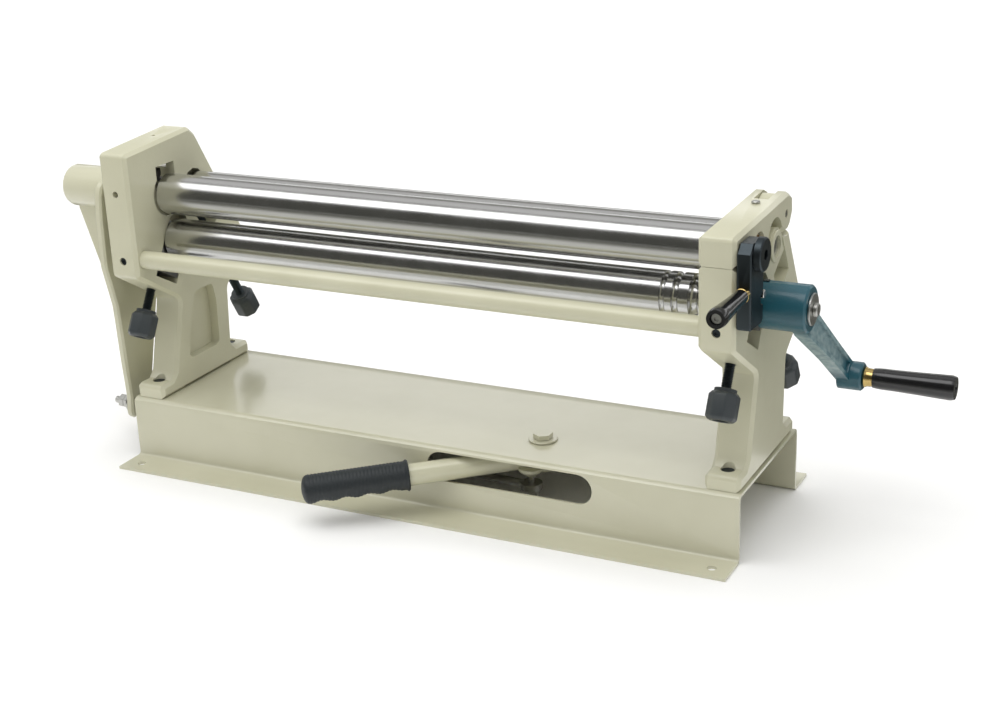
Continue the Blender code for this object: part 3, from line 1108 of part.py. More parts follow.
rib_top_z = UPPER_AXIS[1] - ARM_RIB_DROP
rib_end_x = -(ARM_BOSS_END_X - ARM_RIB_END_INSET)
rib_outline = [(arm_back_x(rib_top_z, ARM_THICKNESS / 2), rib_top_z + ARM_RIB_ROOT),
               (rib_end_x, rib_top_z + ARM_RIB_ROOT),
               (rib_end_x, rib_top_z),
               (arm_back_x(ARM_RIB_FOOT_Z, ARM_RIB_FOOT_DEPTH), ARM_RIB_FOOT_Z),
               (arm_back_x(ARM_RIB_FOOT_Z, ARM_THICKNESS / 2), ARM_RIB_FOOT_Z)]
rib = prism("add_arm_rib", rib_outline, UPPER_AXIS[0] - rib_half, UPPER_AXIS[0] + rib_half,
            FRONT)
arm_adds = [boss, rib]
for sign in (-1, 1):
    ear_outline = arc((-ARM_PIVOT_X, ARM_PIVOT_Z), ARM_EAR_HALF_HEIGHT, -90, 90)
    ear_back_x = arm_back_x(ARM_PIVOT_Z, ARM_THICKNESS / 2)
    ear_outline += [(ear_back_x, ARM_PIVOT_Z + ARM_EAR_HALF_HEIGHT),
                    (ear_back_x, ARM_PIVOT_Z - ARM_EAR_HALF_HEIGHT)]
    depths = sorted((UPPER_AXIS[0] + sign * ARM_EAR_INNER, UPPER_AXIS[0] + sign * ARM_EAR_OUTER))
    arm_adds.append(prism("add_arm_ear", ear_outline, depths[0], depths[1], FRONT))
combine(release_arm, arm_adds, "UNION")
arm_cuts = [rod("cut_arm_bore", (-ARM_FACE_X + ARM_BORE_LEAD, *UPPER_AXIS),
                (-ARM_BORE_END_X, *UPPER_AXIS), BUSH_RADIUS + FIT, count=ROUND)]
for sign in (-1, 1):
    inner = UPPER_AXIS[0] + sign * (ARM_EAR_INNER - THROUGH)
    outer = UPPER_AXIS[0] + sign * (ARM_EAR_OUTER + THROUGH)
    arm_cuts.append(rod("cut_arm_eye", (-ARM_PIVOT_X, inner, ARM_PIVOT_Z),
                        (-ARM_PIVOT_X, outer, ARM_PIVOT_Z), PIVOT_PIN_RADIUS + FIT, count=SMALL))
slot_shift = ARM_SLOT_Y - UPPER_AXIS[0]
foot_outline = arc((slot_shift, up_arm(ARM_SLOT_TOP_Z) - ARM_SLOT_HALF_WIDTH),
                   ARM_SLOT_HALF_WIDTH, 0, 180)
foot_outline += [(slot_shift - ARM_SLOT_HALF_WIDTH, up_arm(0)),
                 (slot_shift + ARM_SLOT_HALF_WIDTH, up_arm(0))]
arm_cuts.append(prism("cut_arm_fork", foot_outline, -THROUGH, ARM_THICKNESS + THROUGH, arm_plate))
combine(release_arm, arm_cuts)

# Bearing cap
knuckle_start = math.degrees(math.asin((SPLIT_CAP_Z - HINGE_AXIS[1]) / HINGE_KNUCKLE_RADIUS))
cap_outline = rounded([(HEAD_FRONT_Y, SPLIT_CAP_Z), (HEAD_FRONT_Y, CAP_TOP_FRONT_Z),
                       CAP_TOP_REAR, CAP_REAR_UPPER, CAP_REAR_LOWER],
                      [0, CORNER_FILLET, CORNER_FILLET, CORNER_FILLET, 0])
cap_outline += arc(HINGE_AXIS, HINGE_KNUCKLE_RADIUS, -20, -180 - knuckle_start)
bearing_cap = prism("bearing_cap", cap_outline, HEAD_INNER_X, HEAD_OUTER_X, SIDE, "cast_paint",
                    (HEAD_MIDDLE_X, *HINGE_AXIS), CAST_EDGE)
block_top = REAR_SLIDE.point(0, REAR_LIFT, 0)
cap_cuts = [
    rod("cut_cap_bush", (HEAD_INNER_X - THROUGH, *UPPER_AXIS),
        (HEAD_OUTER_X + THROUGH, *UPPER_AXIS), CAP_BUSH_ROOM_RADIUS, count=ROUND),
    rod("cut_cap_block", (HEAD_INNER_X - THROUGH, block_top.y, block_top.z),
        (HEAD_OUTER_X + THROUGH, block_top.y, block_top.z), CAP_BLOCK_ROOM_RADIUS, count=ROUND),
    prism("cut_cap_fork",
          [(HINGE_AXIS[0] - HINGE_EAR_ROOM, SPLIT_CAP_Z - HINGE_EAR_ROOM),
           (HINGE_AXIS[0] + HINGE_FORK_REACH, SPLIT_CAP_Z - HINGE_EAR_ROOM),
           (HINGE_AXIS[0] + HINGE_FORK_REACH, SPLIT_CAP_Z + HINGE_FORK_REACH),
           (HINGE_AXIS[0] - HINGE_EAR_ROOM, SPLIT_CAP_Z + HINGE_FORK_REACH)],
          ear_first - SLIDE_FIT, ear_last + SLIDE_FIT),
    rod("cut_cap_pin", (HEAD_INNER_X - THROUGH, *HINGE_AXIS),
        (HEAD_OUTER_X + THROUGH, *HINGE_AXIS), HINGE_PIN_RADIUS + FIT),
    rod("cut_cap_latch_screw", (HEAD_OUTER_X + THROUGH, *LATCH_PIVOT),
        (HEAD_OUTER_X - LATCH_SCREW_DEPTH - FIT, *LATCH_PIVOT), LATCH_SCREW_RADIUS + FIT),
]
cap_slope = (CAP_TOP_REAR[1] - CAP_TOP_FRONT_Z) / (CAP_TOP_REAR[0] - HEAD_FRONT_Y)


def cap_top_z(y):
    """The height of the cap's sloping top at a y."""
    return CAP_TOP_FRONT_Z + (y - HEAD_FRONT_Y) * cap_slope


plug_z = cap_top_z(CAP_PLUG_Y)
cap_cuts.append(rod("cut_cap_plug", (HEAD_MIDDLE_X, CAP_PLUG_Y, plug_z + THROUGH),
                    (HEAD_MIDDLE_X, CAP_PLUG_Y, plug_z - CAP_PLUG_STEM_LENGTH - FIT),
                    CAP_PLUG_STEM_RADIUS + FIT, count=SMALL))
combine(bearing_cap, cap_cuts)
rod("cap_hinge_pin", (HEAD_INNER_X + SLIDE_FIT, *HINGE_AXIS),
    (HEAD_OUTER_X - SLIDE_FIT, *HINGE_AXIS), HINGE_PIN_RADIUS, "polished_steel")
lathe("cap_oil_plug", [(-CAP_PLUG_STEM_LENGTH, CAP_PLUG_STEM_RADIUS), (0, CAP_PLUG_STEM_RADIUS),
                       (0, CAP_PLUG_RADIUS), (CAP_PLUG_HEIGHT - CAP_PLUG_EDGE, CAP_PLUG_RADIUS),
                       (CAP_PLUG_HEIGHT, CAP_PLUG_RADIUS - CAP_PLUG_EDGE)],
      (HEAD_MIDDLE_X, CAP_PLUG_Y, plug_z + FIT), (0, 0, 1), "zinc", count=SMALL)

# Latch
latch_pivot = (HEAD_OUTER_X, *LATCH_PIVOT)
latch_bar = prism("latch_bar", rounded(LATCH_OUTLINE, LATCH_FILLETS), LATCH_INNER_X,
                  LATCH_OUTER_X, SIDE, "black_steel", latch_pivot, LATCH_EDGE, 1)
latch_cuts = [
    prism("cut_latch_notch", LATCH_NOTCH, LATCH_INNER_X - THROUGH, LATCH_OUTER_X + THROUGH),
    rod("cut_latch_pivot", (LATCH_INNER_X - THROUGH, *LATCH_PIVOT),
        (LATCH_OUTER_X + THROUGH, *LATCH_PIVOT), LATCH_SCREW_RADIUS + FIT),
    rod("cut_latch_stud", (LATCH_HANDLE_X, HEAD_FRONT_Y - THROUGH, LATCH_HANDLE_Z),
        (LATCH_HANDLE_X, HEAD_FRONT_Y + LATCH_STUD_DEPTH, LATCH_HANDLE_Z), LATCH_STUD_RADIUS + FIT),
]
combine(latch_bar, latch_cuts)
screw_face = LATCH_OUTER_X + FIT
screw_outer = screw_face + LATCH_SCREW_HEAD_HEIGHT
latch_pivot_screw = lathe(
    "latch_pivot_screw",
    [(HEAD_OUTER_X - LATCH_SCREW_DEPTH, LATCH_SCREW_RADIUS), (screw_face, LATCH_SCREW_RADIUS),
     (screw_face, LATCH_SCREW_HEAD_RADIUS), (screw_outer - LATCH_EDGE, LATCH_SCREW_HEAD_RADIUS),
     (screw_outer, LATCH_SCREW_HEAD_RADIUS - LATCH_EDGE)],
    (0, *LATCH_PIVOT), (1, 0, 0), "black_steel", count=COARSE)
socket_frame = Frame((0, *LATCH_PIVOT), (0, 1, 0), (0, 0, 1), (1, 0, 0))
combine(latch_pivot_screw, [prism("cut_latch_socket", polygon(HEX_RADIUS, 6),
                                  screw_outer - HEX_DEPTH, screw_outer + THROUGH, socket_frame)])
ferrule_front_y = HEAD_FRONT_Y - FIT - LATCH_FERRULE_LENGTH
ring("latch_ferrule", (LATCH_HANDLE_X, HEAD_FRONT_Y - FIT, LATCH_HANDLE_Z),
     (LATCH_HANDLE_X, ferrule_front_y, LATCH_HANDLE_Z), LATCH_STUD_RADIUS + FIT,
     LATCH_FERRULE_RADIUS, "brass", latch_pivot, COARSE)
handle_back_y = ferrule_front_y - FIT
handle_length = handle_back_y - LATCH_HANDLE_END_Y
sink_start = handle_length - LATCH_HANDLE_SINK_DEPTH
bore = LATCH_STUD_RADIUS + FIT
handle_swell = LATCH_HANDLE_END_RADIUS - LATCH_HANDLE_START_RADIUS
handle_profile = [(0, bore)]
handle_profile += [(handle_length * place, LATCH_HANDLE_START_RADIUS + handle_swell * swell)
                   for place, swell in LATCH_HANDLE_SWELL_SHARES]
handle_profile += [(handle_length, LATCH_HANDLE_SINK_RADIUS),
                   (sink_start, LATCH_HANDLE_SINK_RADIUS), (sink_start, bore)]
lathe("latch_handle", handle_profile, (LATCH_HANDLE_X, handle_back_y, LATCH_HANDLE_Z), (0, -1, 0),
      "black_grip", latch_pivot, COARSE, closed=True)
stud_inner_y = HEAD_FRONT_Y + LATCH_STUD_DEPTH - FIT
head_reach = stud_inner_y - (handle_back_y - sink_start - FIT)
handle_screw_radius = LATCH_HANDLE_SINK_RADIUS - FIT
lathe("latch_handle_screw", [(0, LATCH_STUD_RADIUS), (head_reach, LATCH_STUD_RADIUS),
                             (head_reach, handle_screw_radius),
                             (head_reach + LATCH_HANDLE_SCREW_HEAD, handle_screw_radius)],
      (LATCH_HANDLE_X, stud_inner_y, LATCH_HANDLE_Z), (0, -1, 0), "black_steel", latch_pivot,
      COARSE)
rod("keeper_pin", (HEAD_OUTER_X - KEEPER_DEPTH, *KEEPER), (LATCH_OUTER_X, *KEEPER), KEEPER_RADIUS,
    "polished_steel", chamfer=KEEPER_CHAMFER)

# Crank
crank_pivot = (0, *LOWER_AXIS)
crank_out = (0, math.cos(CRANK_ARM_ANGLE), math.sin(CRANK_ARM_ANGLE))
crank_side = (0, -math.sin(CRANK_ARM_ANGLE), math.cos(CRANK_ARM_ANGLE))
boss_y = LOWER_AXIS[0] + CRANK_ARM_LENGTH * crank_out[1]
boss_z = LOWER_AXIS[1] + CRANK_ARM_LENGTH * crank_out[2]
crank_arm = lathe("crank_arm", [(CRANK_HUB_START_X, CRANK_HUB_RADIUS),
                                (CRANK_HUB_END_X - CRANK_HUB_EDGE, CRANK_HUB_RADIUS),
                                (CRANK_HUB_END_X, CRANK_HUB_RADIUS - CRANK_HUB_EDGE)],
                  (0, *LOWER_AXIS), (1, 0, 0), "crank_paint", crank_pivot, FINE)
arm_stations = []
for reach_share, shift_share, width_share in zip(CRANK_ARM_REACH_SHARES, CRANK_ARM_SHIFT_SHARES,
                                                 CRANK_ARM_WIDTH_SHARES):
    widening = (CRANK_ARM_HUB_HALF_WIDTH - CRANK_ARM_END_HALF_WIDTH) * width_share
    arm_stations.append((CRANK_ARM_LENGTH * reach_share,
                         CRANK_ARM_INNER_X + CRANK_ARM_SHIFT_X * shift_share,
                         CRANK_ARM_END_HALF_WIDTH + widening))


def arm_at(reach):
    """The x of the inner face and the half width of the crank arm at a distance."""
    for near, far in zip(arm_stations, arm_stations[1:]):
        if reach <= far[0]:
            part = (reach - near[0]) / (far[0] - near[0])
            return near[1] + (far[1] - near[1]) * part, near[2] + (far[2] - near[2]) * part
    return arm_stations[-1][1], arm_stations[-1][2]


def arm_section(reach, low_x, high_x, half_width):
    """The four corners of a section across the crank arm."""
    middle = Vector((0, *LOWER_AXIS)) + Vector(crank_out) * reach
    corners = ((low_x, -1), (low_x, 1), (high_x, 1), (high_x, -1))
    return [middle + Vector((x, 0, 0)) + Vector(crank_side) * side * half_width
            for x, side in corners]


crank_bar = loft("add_crank_bar", [arm_section(reach, inner_x, inner_x + CRANK_ARM_THICKNESS, half)
                                   for reach, inner_x, half in arm_stations])
crank_boss = lathe("add_crank_boss", [(CRANK_BOSS_START_X, CRANK_BOSS_RADIUS),
                                      (CRANK_BOSS_END_X - CRANK_HUB_EDGE, CRANK_BOSS_RADIUS),
                                      (CRANK_BOSS_END_X, CRANK_BOSS_RADIUS - CRANK_HUB_EDGE)],
                   (0, boss_y, boss_z), (1, 0, 0))
combine(crank_arm, [crank_bar, crank_boss], "UNION")
groove_sections = []
for reach in (CRANK_HUB_RADIUS + CRANK_GROOVE_RIM / 2, arm_stations[1][0], arm_stations[2][0],
              CRANK_ARM_LENGTH - CRANK_BOSS_RADIUS - CRANK_GROOVE_RIM / 2):
    inner_x, half_width = arm_at(reach)
    face_x = inner_x + CRANK_ARM_THICKNESS
    groove_sections.append(arm_section(reach, face_x - CRANK_GROOVE_DEPTH, face_x + LONG_THROUGH,
                                       half_width - CRANK_GROOVE_RIM))
crank_cuts = [
    loft("cut_crank_groove", groove_sections),
    rod("cut_crank_bore", (CRANK_HUB_START_X - THROUGH, *LOWER_AXIS),
        (CRANK_HUB_END_X + THROUGH, *LOWER_AXIS), LOWER_JOURNAL_RADIUS + FIT, count=ROUND),
    rod("cut_crank_stud", (CRANK_BOSS_START_X + THROUGH, boss_y, boss_z),
        (CRANK_BOSS_END_X + THROUGH, boss_y, boss_z), GRIP_STUD_RADIUS + FIT, count=COARSE),
]
key_half = CRANK_KEY_SIZE / 2
key_x = CRANK_HUB_START_X + CRANK_KEY_SIZE
key_top = LOWER_AXIS[1] + CRANK_HUB_RADIUS


def key_outline(room, top):
    """The end of the key, or of its keyway with a little room."""
    low = key_top - CRANK_KEY_SIZE - room
    return [(LOWER_AXIS[0] - key_half - room, top), (LOWER_AXIS[0] - key_half - room, low),
            (LOWER_AXIS[0] + key_half + room, low), (LOWER_AXIS[0] + key_half + room, top)]


crank_cuts.insert(0, prism("cut_crank_key", key_outline(FIT, key_top + THROUGH),
                           CRANK_HUB_START_X - THROUGH, key_x + FIT))
combine(crank_arm, crank_cuts)
prism("crank_key", key_outline(0, key_top + CRANK_KEY_RISE), CRANK_HUB_START_X, key_x, SIDE,
      "black_steel", crank_pivot)
washer_x = CRANK_HUB_END_X + FIT
washer_end_x = washer_x + CRANK_WASHER_THICKNESS
ring("crank_washer", (washer_x, *LOWER_AXIS), (washer_end_x, *LOWER_AXIS),
     CRANK_SCREW_RADIUS + FIT, CRANK_WASHER_RADIUS, "zinc", crank_pivot, COARSE)
screw_hole_end = crank_journal_end - CRANK_SCREW_LENGTH
combine(lower_roll, [rod("cut_crank_screw", (screw_hole_end, *LOWER_AXIS),
                         (crank_journal_end + THROUGH, *LOWER_AXIS), CRANK_SCREW_RADIUS + FIT,
                         count=SMALL)])
head_x = washer_end_x + FIT
head_end_x = head_x + CRANK_SCREW_HEAD_HEIGHT
crank_screw = lathe("crank_screw", [(screw_hole_end + FIT, CRANK_SCREW_RADIUS),
                                    (head_x, CRANK_SCREW_RADIUS),
                                    (head_x, CRANK_SCREW_HEAD_RADIUS),
                                    (head_end_x - CRANK_SCREW_EDGE, CRANK_SCREW_HEAD_RADIUS),
                                    (head_end_x, CRANK_SCREW_HEAD_RADIUS - CRANK_SCREW_EDGE)],
                    (0, *LOWER_AXIS), (1, 0, 0), "zinc", crank_pivot, COARSE)
hub_frame = Frame((0, *LOWER_AXIS), (0, 1, 0), (0, 0, 1), (1, 0, 0))
combine(crank_screw, [prism("cut_crank_socket", polygon(CRANK_SCREW_HEAD_RADIUS / 2, 6),
                            head_end_x - HEX_DEPTH / 2, head_end_x + THROUGH, hub_frame)])

# Crank grip: stud, ferrule and turned handle
ferrule_x = CRANK_BOSS_END_X + FIT
ferrule_end_x = ferrule_x + GRIP_FERRULE_LENGTH
ring("crank_ferrule", (ferrule_x, boss_y, boss_z), (ferrule_end_x, boss_y, boss_z),
     GRIP_STUD_RADIUS + FIT, GRIP_FERRULE_RADIUS, "brass", (0, boss_y, boss_z), COARSE)
grip_x = ferrule_end_x + FIT
stud_end = GRIP_LENGTH * GRIP_STUD_SHARE
grip_profile = [(stud_end, GRIP_STUD_RADIUS + FIT), (0, GRIP_STUD_RADIUS + FIT)]
grip_profile += [(GRIP_LENGTH * place,
                  GRIP_START_RADIUS + (GRIP_END_RADIUS - GRIP_START_RADIUS) * swell)
                 for place, swell in GRIP_SWELL_SHARES]
lathe("crank_grip", grip_profile, (grip_x, boss_y, boss_z), (1, 0, 0), "black_grip",
      (0, boss_y, boss_z), COARSE)
rod("crank_grip_stud", (CRANK_BOSS_START_X + THROUGH + FIT, boss_y, boss_z),
    (grip_x + stud_end - FIT, boss_y, boss_z), GRIP_STUD_RADIUS, "polished_steel",
    (0, boss_y, boss_z), COARSE)

# Release lever
lever_pivot = (*LEVER_PIVOT, 0)
lever_out = Vector((math.cos(LEVER_ANGLE) * math.cos(LEVER_DIP_ANGLE),
                    math.sin(LEVER_ANGLE) * math.cos(LEVER_DIP_ANGLE),
                    -math.sin(LEVER_DIP_ANGLE)))
tube_start = Vector((*LEVER_PIVOT, LEVER_TUBE_Z))
pin_spot = (LEVER_PIVOT[0] + LINK_PIN_RADIUS_OUT * math.cos(LINK_PIN_ANGLE),
            LEVER_PIVOT[1] + LINK_PIN_RADIUS_OUT * math.sin(LINK_PIN_ANGLE))
release_lever = lathe("release_lever", [(LEVER_HUB_BOTTOM_Z, LEVER_HUB_FOOT_RADIUS),
                                        (LEVER_HUB_BOTTOM_Z + LEVER_HUB_CONE, LEVER_HUB_RADIUS),
                                        (LEVER_HUB_TOP_Z, LEVER_HUB_RADIUS)],
                      (*LEVER_PIVOT, 0), (0, 0, 1), "cast_paint", lever_pivot)
tube = rod("add_lever_tube", tube_start, tube_start + lever_out * LEVER_TUBE_END,
           LEVER_TUBE_RADIUS, count=COARSE)
ear = lathe("add_link_ear", [(LINK_EAR_BOTTOM_Z, LINK_EAR_TIP_RADIUS),
                             (LINK_EAR_CONE_Z, LINK_EAR_RADIUS),
                             (LINK_EAR_TOP_Z, LINK_EAR_RADIUS)],
            (*pin_spot, 0), (0, 0, 1), count=COARSE)
combine(release_lever, [tube, ear], "UNION")
lever_cuts = [
    rod("cut_lever_bolt", (*LEVER_PIVOT, PIVOT_BOLT_TIP_Z - FIT),
        (*LEVER_PIVOT, LEVER_HUB_TOP_Z + THROUGH), PIVOT_BOLT_RADIUS + FIT, count=COARSE),
    rod("cut_link_pin", (*pin_spot, LINK_EAR_BOTTOM_Z - THROUGH),
        (*pin_spot, LEVER_HUB_TOP_Z + THROUGH), LINK_STEM_RADIUS + FIT, count=SMALL),
]
combine(release_lever, lever_cuts)
washer_z = BASE_HEIGHT + FIT
ring("lever_washer", (*LEVER_PIVOT, washer_z), (*LEVER_PIVOT, washer_z + PIVOT_WASHER_THICKNESS),
     PIVOT_BOLT_RADIUS + FIT, PIVOT_WASHER_RADIUS, "base_paint", count=COARSE)
head_z = washer_z + PIVOT_WASHER_THICKNESS + FIT
pivot_bolt = prism("lever_pivot_bolt", polygon(PIVOT_BOLT_HEAD_RADIUS, 6), head_z,
                   head_z + PIVOT_BOLT_HEAD_HEIGHT, axis_frame((*LEVER_PIVOT, 0), (0, 0, 1)),
                   "base_paint")
bolt_shank = rod("add_bolt_shank", (*LEVER_PIVOT, PIVOT_BOLT_TIP_Z),
                 (*LEVER_PIVOT, head_z + PIVOT_BOLT_HEAD_HEIGHT / 2), PIVOT_BOLT_RADIUS)
combine(pivot_bolt, [bolt_shank], "UNION")
ring("lever_spacer", (*LEVER_PIVOT, LEVER_HUB_TOP_Z + FIT),
     (*LEVER_PIVOT, BASE_HEIGHT - SHEET - FIT), PIVOT_BOLT_RADIUS + FIT, PIVOT_WASHER_RADIUS,
     "zinc", count=COARSE)
bore = LEVER_TUBE_RADIUS + FIT
lever_grip = lathe("lever_grip", [(LEVER_TUBE_END + FIT, bore), (LEVER_GRIP_START, bore),
                                  (LEVER_GRIP_START, LEVER_GRIP_LIP_RADIUS),
                                  (LEVER_GRIP_START + LEVER_GRIP_EDGE, LEVER_GRIP_RADIUS),
                                  (LEVER_GRIP_END - LEVER_GRIP_EDGE, LEVER_GRIP_RADIUS),
                                  (LEVER_GRIP_END, LEVER_GRIP_RADIUS - LEVER_GRIP_EDGE)],
                   tube_start, lever_out, "black_rubber", lever_pivot)
lever_side = Vector((-math.sin(LEVER_ANGLE), math.cos(LEVER_ANGLE), 0))
lever_under = lever_out.cross(lever_side)
if lever_under.z > 0:
    lever_under = -lever_under
finger_pitch = (LEVER_GRIP_LENGTH - LEVER_GRIP_COLLAR) / LEVER_GRIP_FINGERS
finger_drop = LEVER_GRIP_RADIUS - LEVER_FINGER_DEPTH + LEVER_FINGER_RADIUS
finger_half = LEVER_GRIP_RADIUS + THROUGH
finger_cuts = []
for finger in range(LEVER_GRIP_FINGERS):
    reach = LEVER_GRIP_START + LEVER_GRIP_COLLAR + finger_pitch * (finger + 1 / 2)
    middle = tube_start + lever_out * reach + lever_under * finger_drop
    finger_cuts.append(rod("cut_finger", middle - lever_side * finger_half,
                           middle + lever_side * finger_half, LEVER_FINGER_RADIUS, count=FINE))
combine(lever_grip, finger_cuts)

# Link pin, link rod and their nuts
link_pivot = (*pin_spot, 0)
rod("link_pin", (*pin_spot, LINK_STEM_BOTTOM_Z), (*pin_spot, LINK_EAR_TOP_Z + THROUGH),
    LINK_STEM_RADIUS, "polished_steel", link_pivot, SMALL)
nut_top = ROD_EYE_BOTTOM_Z - FIT
nut("link_pin_nut", (*pin_spot, 0), (0, 0, 1), nut_top - LINK_NUT_HEIGHT, LINK_NUT_HEIGHT,
    LINK_NUT_RADIUS, LINK_STEM_RADIUS + FIT, "zinc", link_pivot)
eye_middle = (ROD_EYE_TOP_Z + ROD_EYE_BOTTOM_Z) / 2
rod_foot = Vector(ROD_FOOT)
rod_start = Vector((pin_spot[0], pin_spot[1], eye_middle))
rod_out = (rod_foot - rod_start).normalized()
rod_reach = (rod_start.x + HEAD_OUTER_X + ROD_END_REACH) / -rod_out.x
link_rod = rod("link_rod", (*pin_spot, ROD_EYE_BOTTOM_Z), (*pin_spot, ROD_EYE_TOP_Z),
               ROD_EYE_RADIUS, "zinc", link_pivot)
bar = rod("add_rod_bar", rod_start + rod_out * (LINK_NUT_RADIUS + SLIDE_FIT),
          rod_start + rod_out * rod_reach, ROD_RADIUS, count=SMALL)
combine(link_rod, [bar], "UNION")
combine(link_rod, [rod("cut_rod_eye", (*pin_spot, ROD_EYE_BOTTOM_Z - THROUGH),
                       (*pin_spot, ROD_EYE_TOP_Z + THROUGH), LINK_STEM_RADIUS + FIT, count=SMALL)])
washer_reach = (rod_start.x + HEAD_OUTER_X + ROD_WASHER_REACH) / -rod_out.x
rod_bore = ROD_RADIUS + FIT
lathe("rod_washer", [(washer_reach, rod_bore), (washer_reach, ROD_WASHER_RADIUS),
                     (washer_reach + ROD_WASHER_THICKNESS, ROD_WASHER_RADIUS),
                     (washer_reach + ROD_WASHER_THICKNESS, rod_bore)],
      rod_start, rod_out, "zinc", link_pivot, COARSE, closed=True)
nut_reach = washer_reach + ROD_WASHER_THICKNESS + FIT
for turn in ("inner", "outer"):
    nut("rod_nut_" + turn, rod_start, rod_out, nut_reach, ROD_NUT_THICKNESS, ROD_NUT_RADIUS,
        rod_bore, "zinc", link_pivot)
    nut_reach += ROD_NUT_THICKNESS + FIT

# Cuts and joints, once every piece is drawn
for body, tool, operation in joins:
    modifier = body.modifiers.new(tool.name, "BOOLEAN")
    modifier.operation = operation
    modifier.solver = "EXACT"
    modifier.object = tool
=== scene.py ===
# %% [markdown]
# # A bench slip roll, dressed for its portrait
#
# A slip roll bends sheet metal between three steel rolls. Two cast heads on a folded base hold
# the rolls, a crank turns them, and a lever under the base tips the upper roll out. The packed
# CAD model is the frame, and this lesson puts the real surfaces around it.

# %% Load the frame
import json
import math

import bmesh
import bpy
import numpy as np
from mathutils import Matrix, Vector


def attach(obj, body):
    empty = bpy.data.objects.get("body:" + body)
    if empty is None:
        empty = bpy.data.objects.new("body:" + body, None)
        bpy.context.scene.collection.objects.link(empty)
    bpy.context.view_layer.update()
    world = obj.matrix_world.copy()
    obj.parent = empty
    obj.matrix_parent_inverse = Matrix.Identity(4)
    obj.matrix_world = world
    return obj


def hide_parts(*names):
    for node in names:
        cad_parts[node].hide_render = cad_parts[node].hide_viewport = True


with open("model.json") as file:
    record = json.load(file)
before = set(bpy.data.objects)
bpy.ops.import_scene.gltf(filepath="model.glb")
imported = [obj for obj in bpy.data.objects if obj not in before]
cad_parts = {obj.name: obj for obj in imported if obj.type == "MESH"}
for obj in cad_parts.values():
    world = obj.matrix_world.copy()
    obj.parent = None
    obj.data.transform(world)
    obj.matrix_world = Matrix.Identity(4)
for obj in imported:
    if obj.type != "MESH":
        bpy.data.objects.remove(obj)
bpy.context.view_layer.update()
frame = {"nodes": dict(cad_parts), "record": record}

print("nodes in the frame:", len(frame["nodes"]))

# %% [markdown]
# The axes of the rolls, bars and pins all run along X, so each needs only its depth and height.

# %% Places
MACHINE_Y = 0.1072
ALONG_X = (1, 0, 0)
ALONG_Y = (0, 1, 0)
ALONG_Z = (0, 0, 1)


def on_axis(y, z):
    """A machine axis along X, moved to the world's origin."""
    return (0, y + MACHINE_Y, z)


UPPER_AXIS = on_axis(-0.0388, 0.2882)
LOWER_AXIS = on_axis(-0.033, 0.2374)
REAR_AXIS = on_axis(0.0125, 0.2785)
TIE_BAR_AXIS = on_axis(-0.088, 0.229)
HINGE_AXIS = on_axis(0.0424, 0.3017)
KEEPER_AXIS = on_axis(-0.0625, 0.257)

# %% [markdown]
# ## Camera
#
# The photograph was taken from the crank's side, a little above the rolls. The camera's place,
# turn and lens were worked out from the corners of the base and heads, so the render can be laid
# over the photograph.

# %% Camera
CAMERA_PLACE = Vector((0.7944, -1.4305 + MACHINE_Y, 0.7267))
CAMERA_TURN = math.radians(27.225)
CAMERA_RISE = math.radians(20.285)
CAMERA_ROLL = math.radians(-2.311)
PHOTO_WIDTH = 999
FOCAL_PIXELS = 1687.98

back = Vector((math.sin(CAMERA_TURN) * math.cos(CAMERA_RISE),
               -math.cos(CAMERA_TURN) * math.cos(CAMERA_RISE), math.sin(CAMERA_RISE)))
level_right = Vector((math.cos(CAMERA_TURN), math.sin(CAMERA_TURN), 0))
level_up = back.cross(level_right)
right = level_right * math.cos(CAMERA_ROLL) + level_up * math.sin(CAMERA_ROLL)
up = level_up * math.cos(CAMERA_ROLL) - level_right * math.sin(CAMERA_ROLL)
lens = bpy.data.cameras.new("camera")
lens.sensor_width = 36
lens.lens = FOCAL_PIXELS * lens.sensor_width / PHOTO_WIDTH
camera = bpy.data.objects.new("camera", lens)
turn = Matrix((right, up, back)).transposed().to_4x4()
camera.matrix_world = Matrix.Translation(CAMERA_PLACE) @ turn
bpy.context.scene.collection.objects.link(camera)
bpy.context.scene.camera = camera
print("lens:", round(lens.lens, 1), "mm")

# %% [markdown]
# ## Light and floor
#
# The photograph was taken in soft light on white paper, so the room is one even pale tone and
# the paint gets its form from a few wide lamps. Plain display colours keep the white paper white
# and show each paint as its hex colour says.

# %% World
bpy.context.scene.view_settings.view_transform = "Standard"


def to_linear(hex_colour):
    """Turns an sRGB hex colour into the linear colour that shaders use."""
    channels = [int(hex_colour[index:index + 2], 16) / 255 for index in (1, 3, 5)]
    return tuple(c / 12.92 if c <= 0.04045 else ((c + 0.055) / 1.055) ** 2.4
                 for c in channels) + (1.0,)


def add_node(owner, kind, settings=None, values=None, sources=None):
    """Adds one node with its settings, its sockets' values and its sockets' sources."""
    node = owner.node_tree.nodes.new("ShaderNode" + kind)
    for name, value in (settings or {}).items():
        setattr(node, name, value)
    for socket, value in (values or {}).items():
        node.inputs[socket].default_value = value
    for socket, source in (sources or {}).items():
        owner.node_tree.links.new(source, node.inputs[socket])
    return node


def set_ramp(node, stops):
    """Gives a colour ramp its stops, as (place, hex colour)."""
    ramp = node.color_ramp
    while len(ramp.elements) < len(stops):
        ramp.elements.new(0.5)
    for element, (place, colour) in zip(ramp.elements, stops):
        element.position = place
        element.color = to_linear(colour)


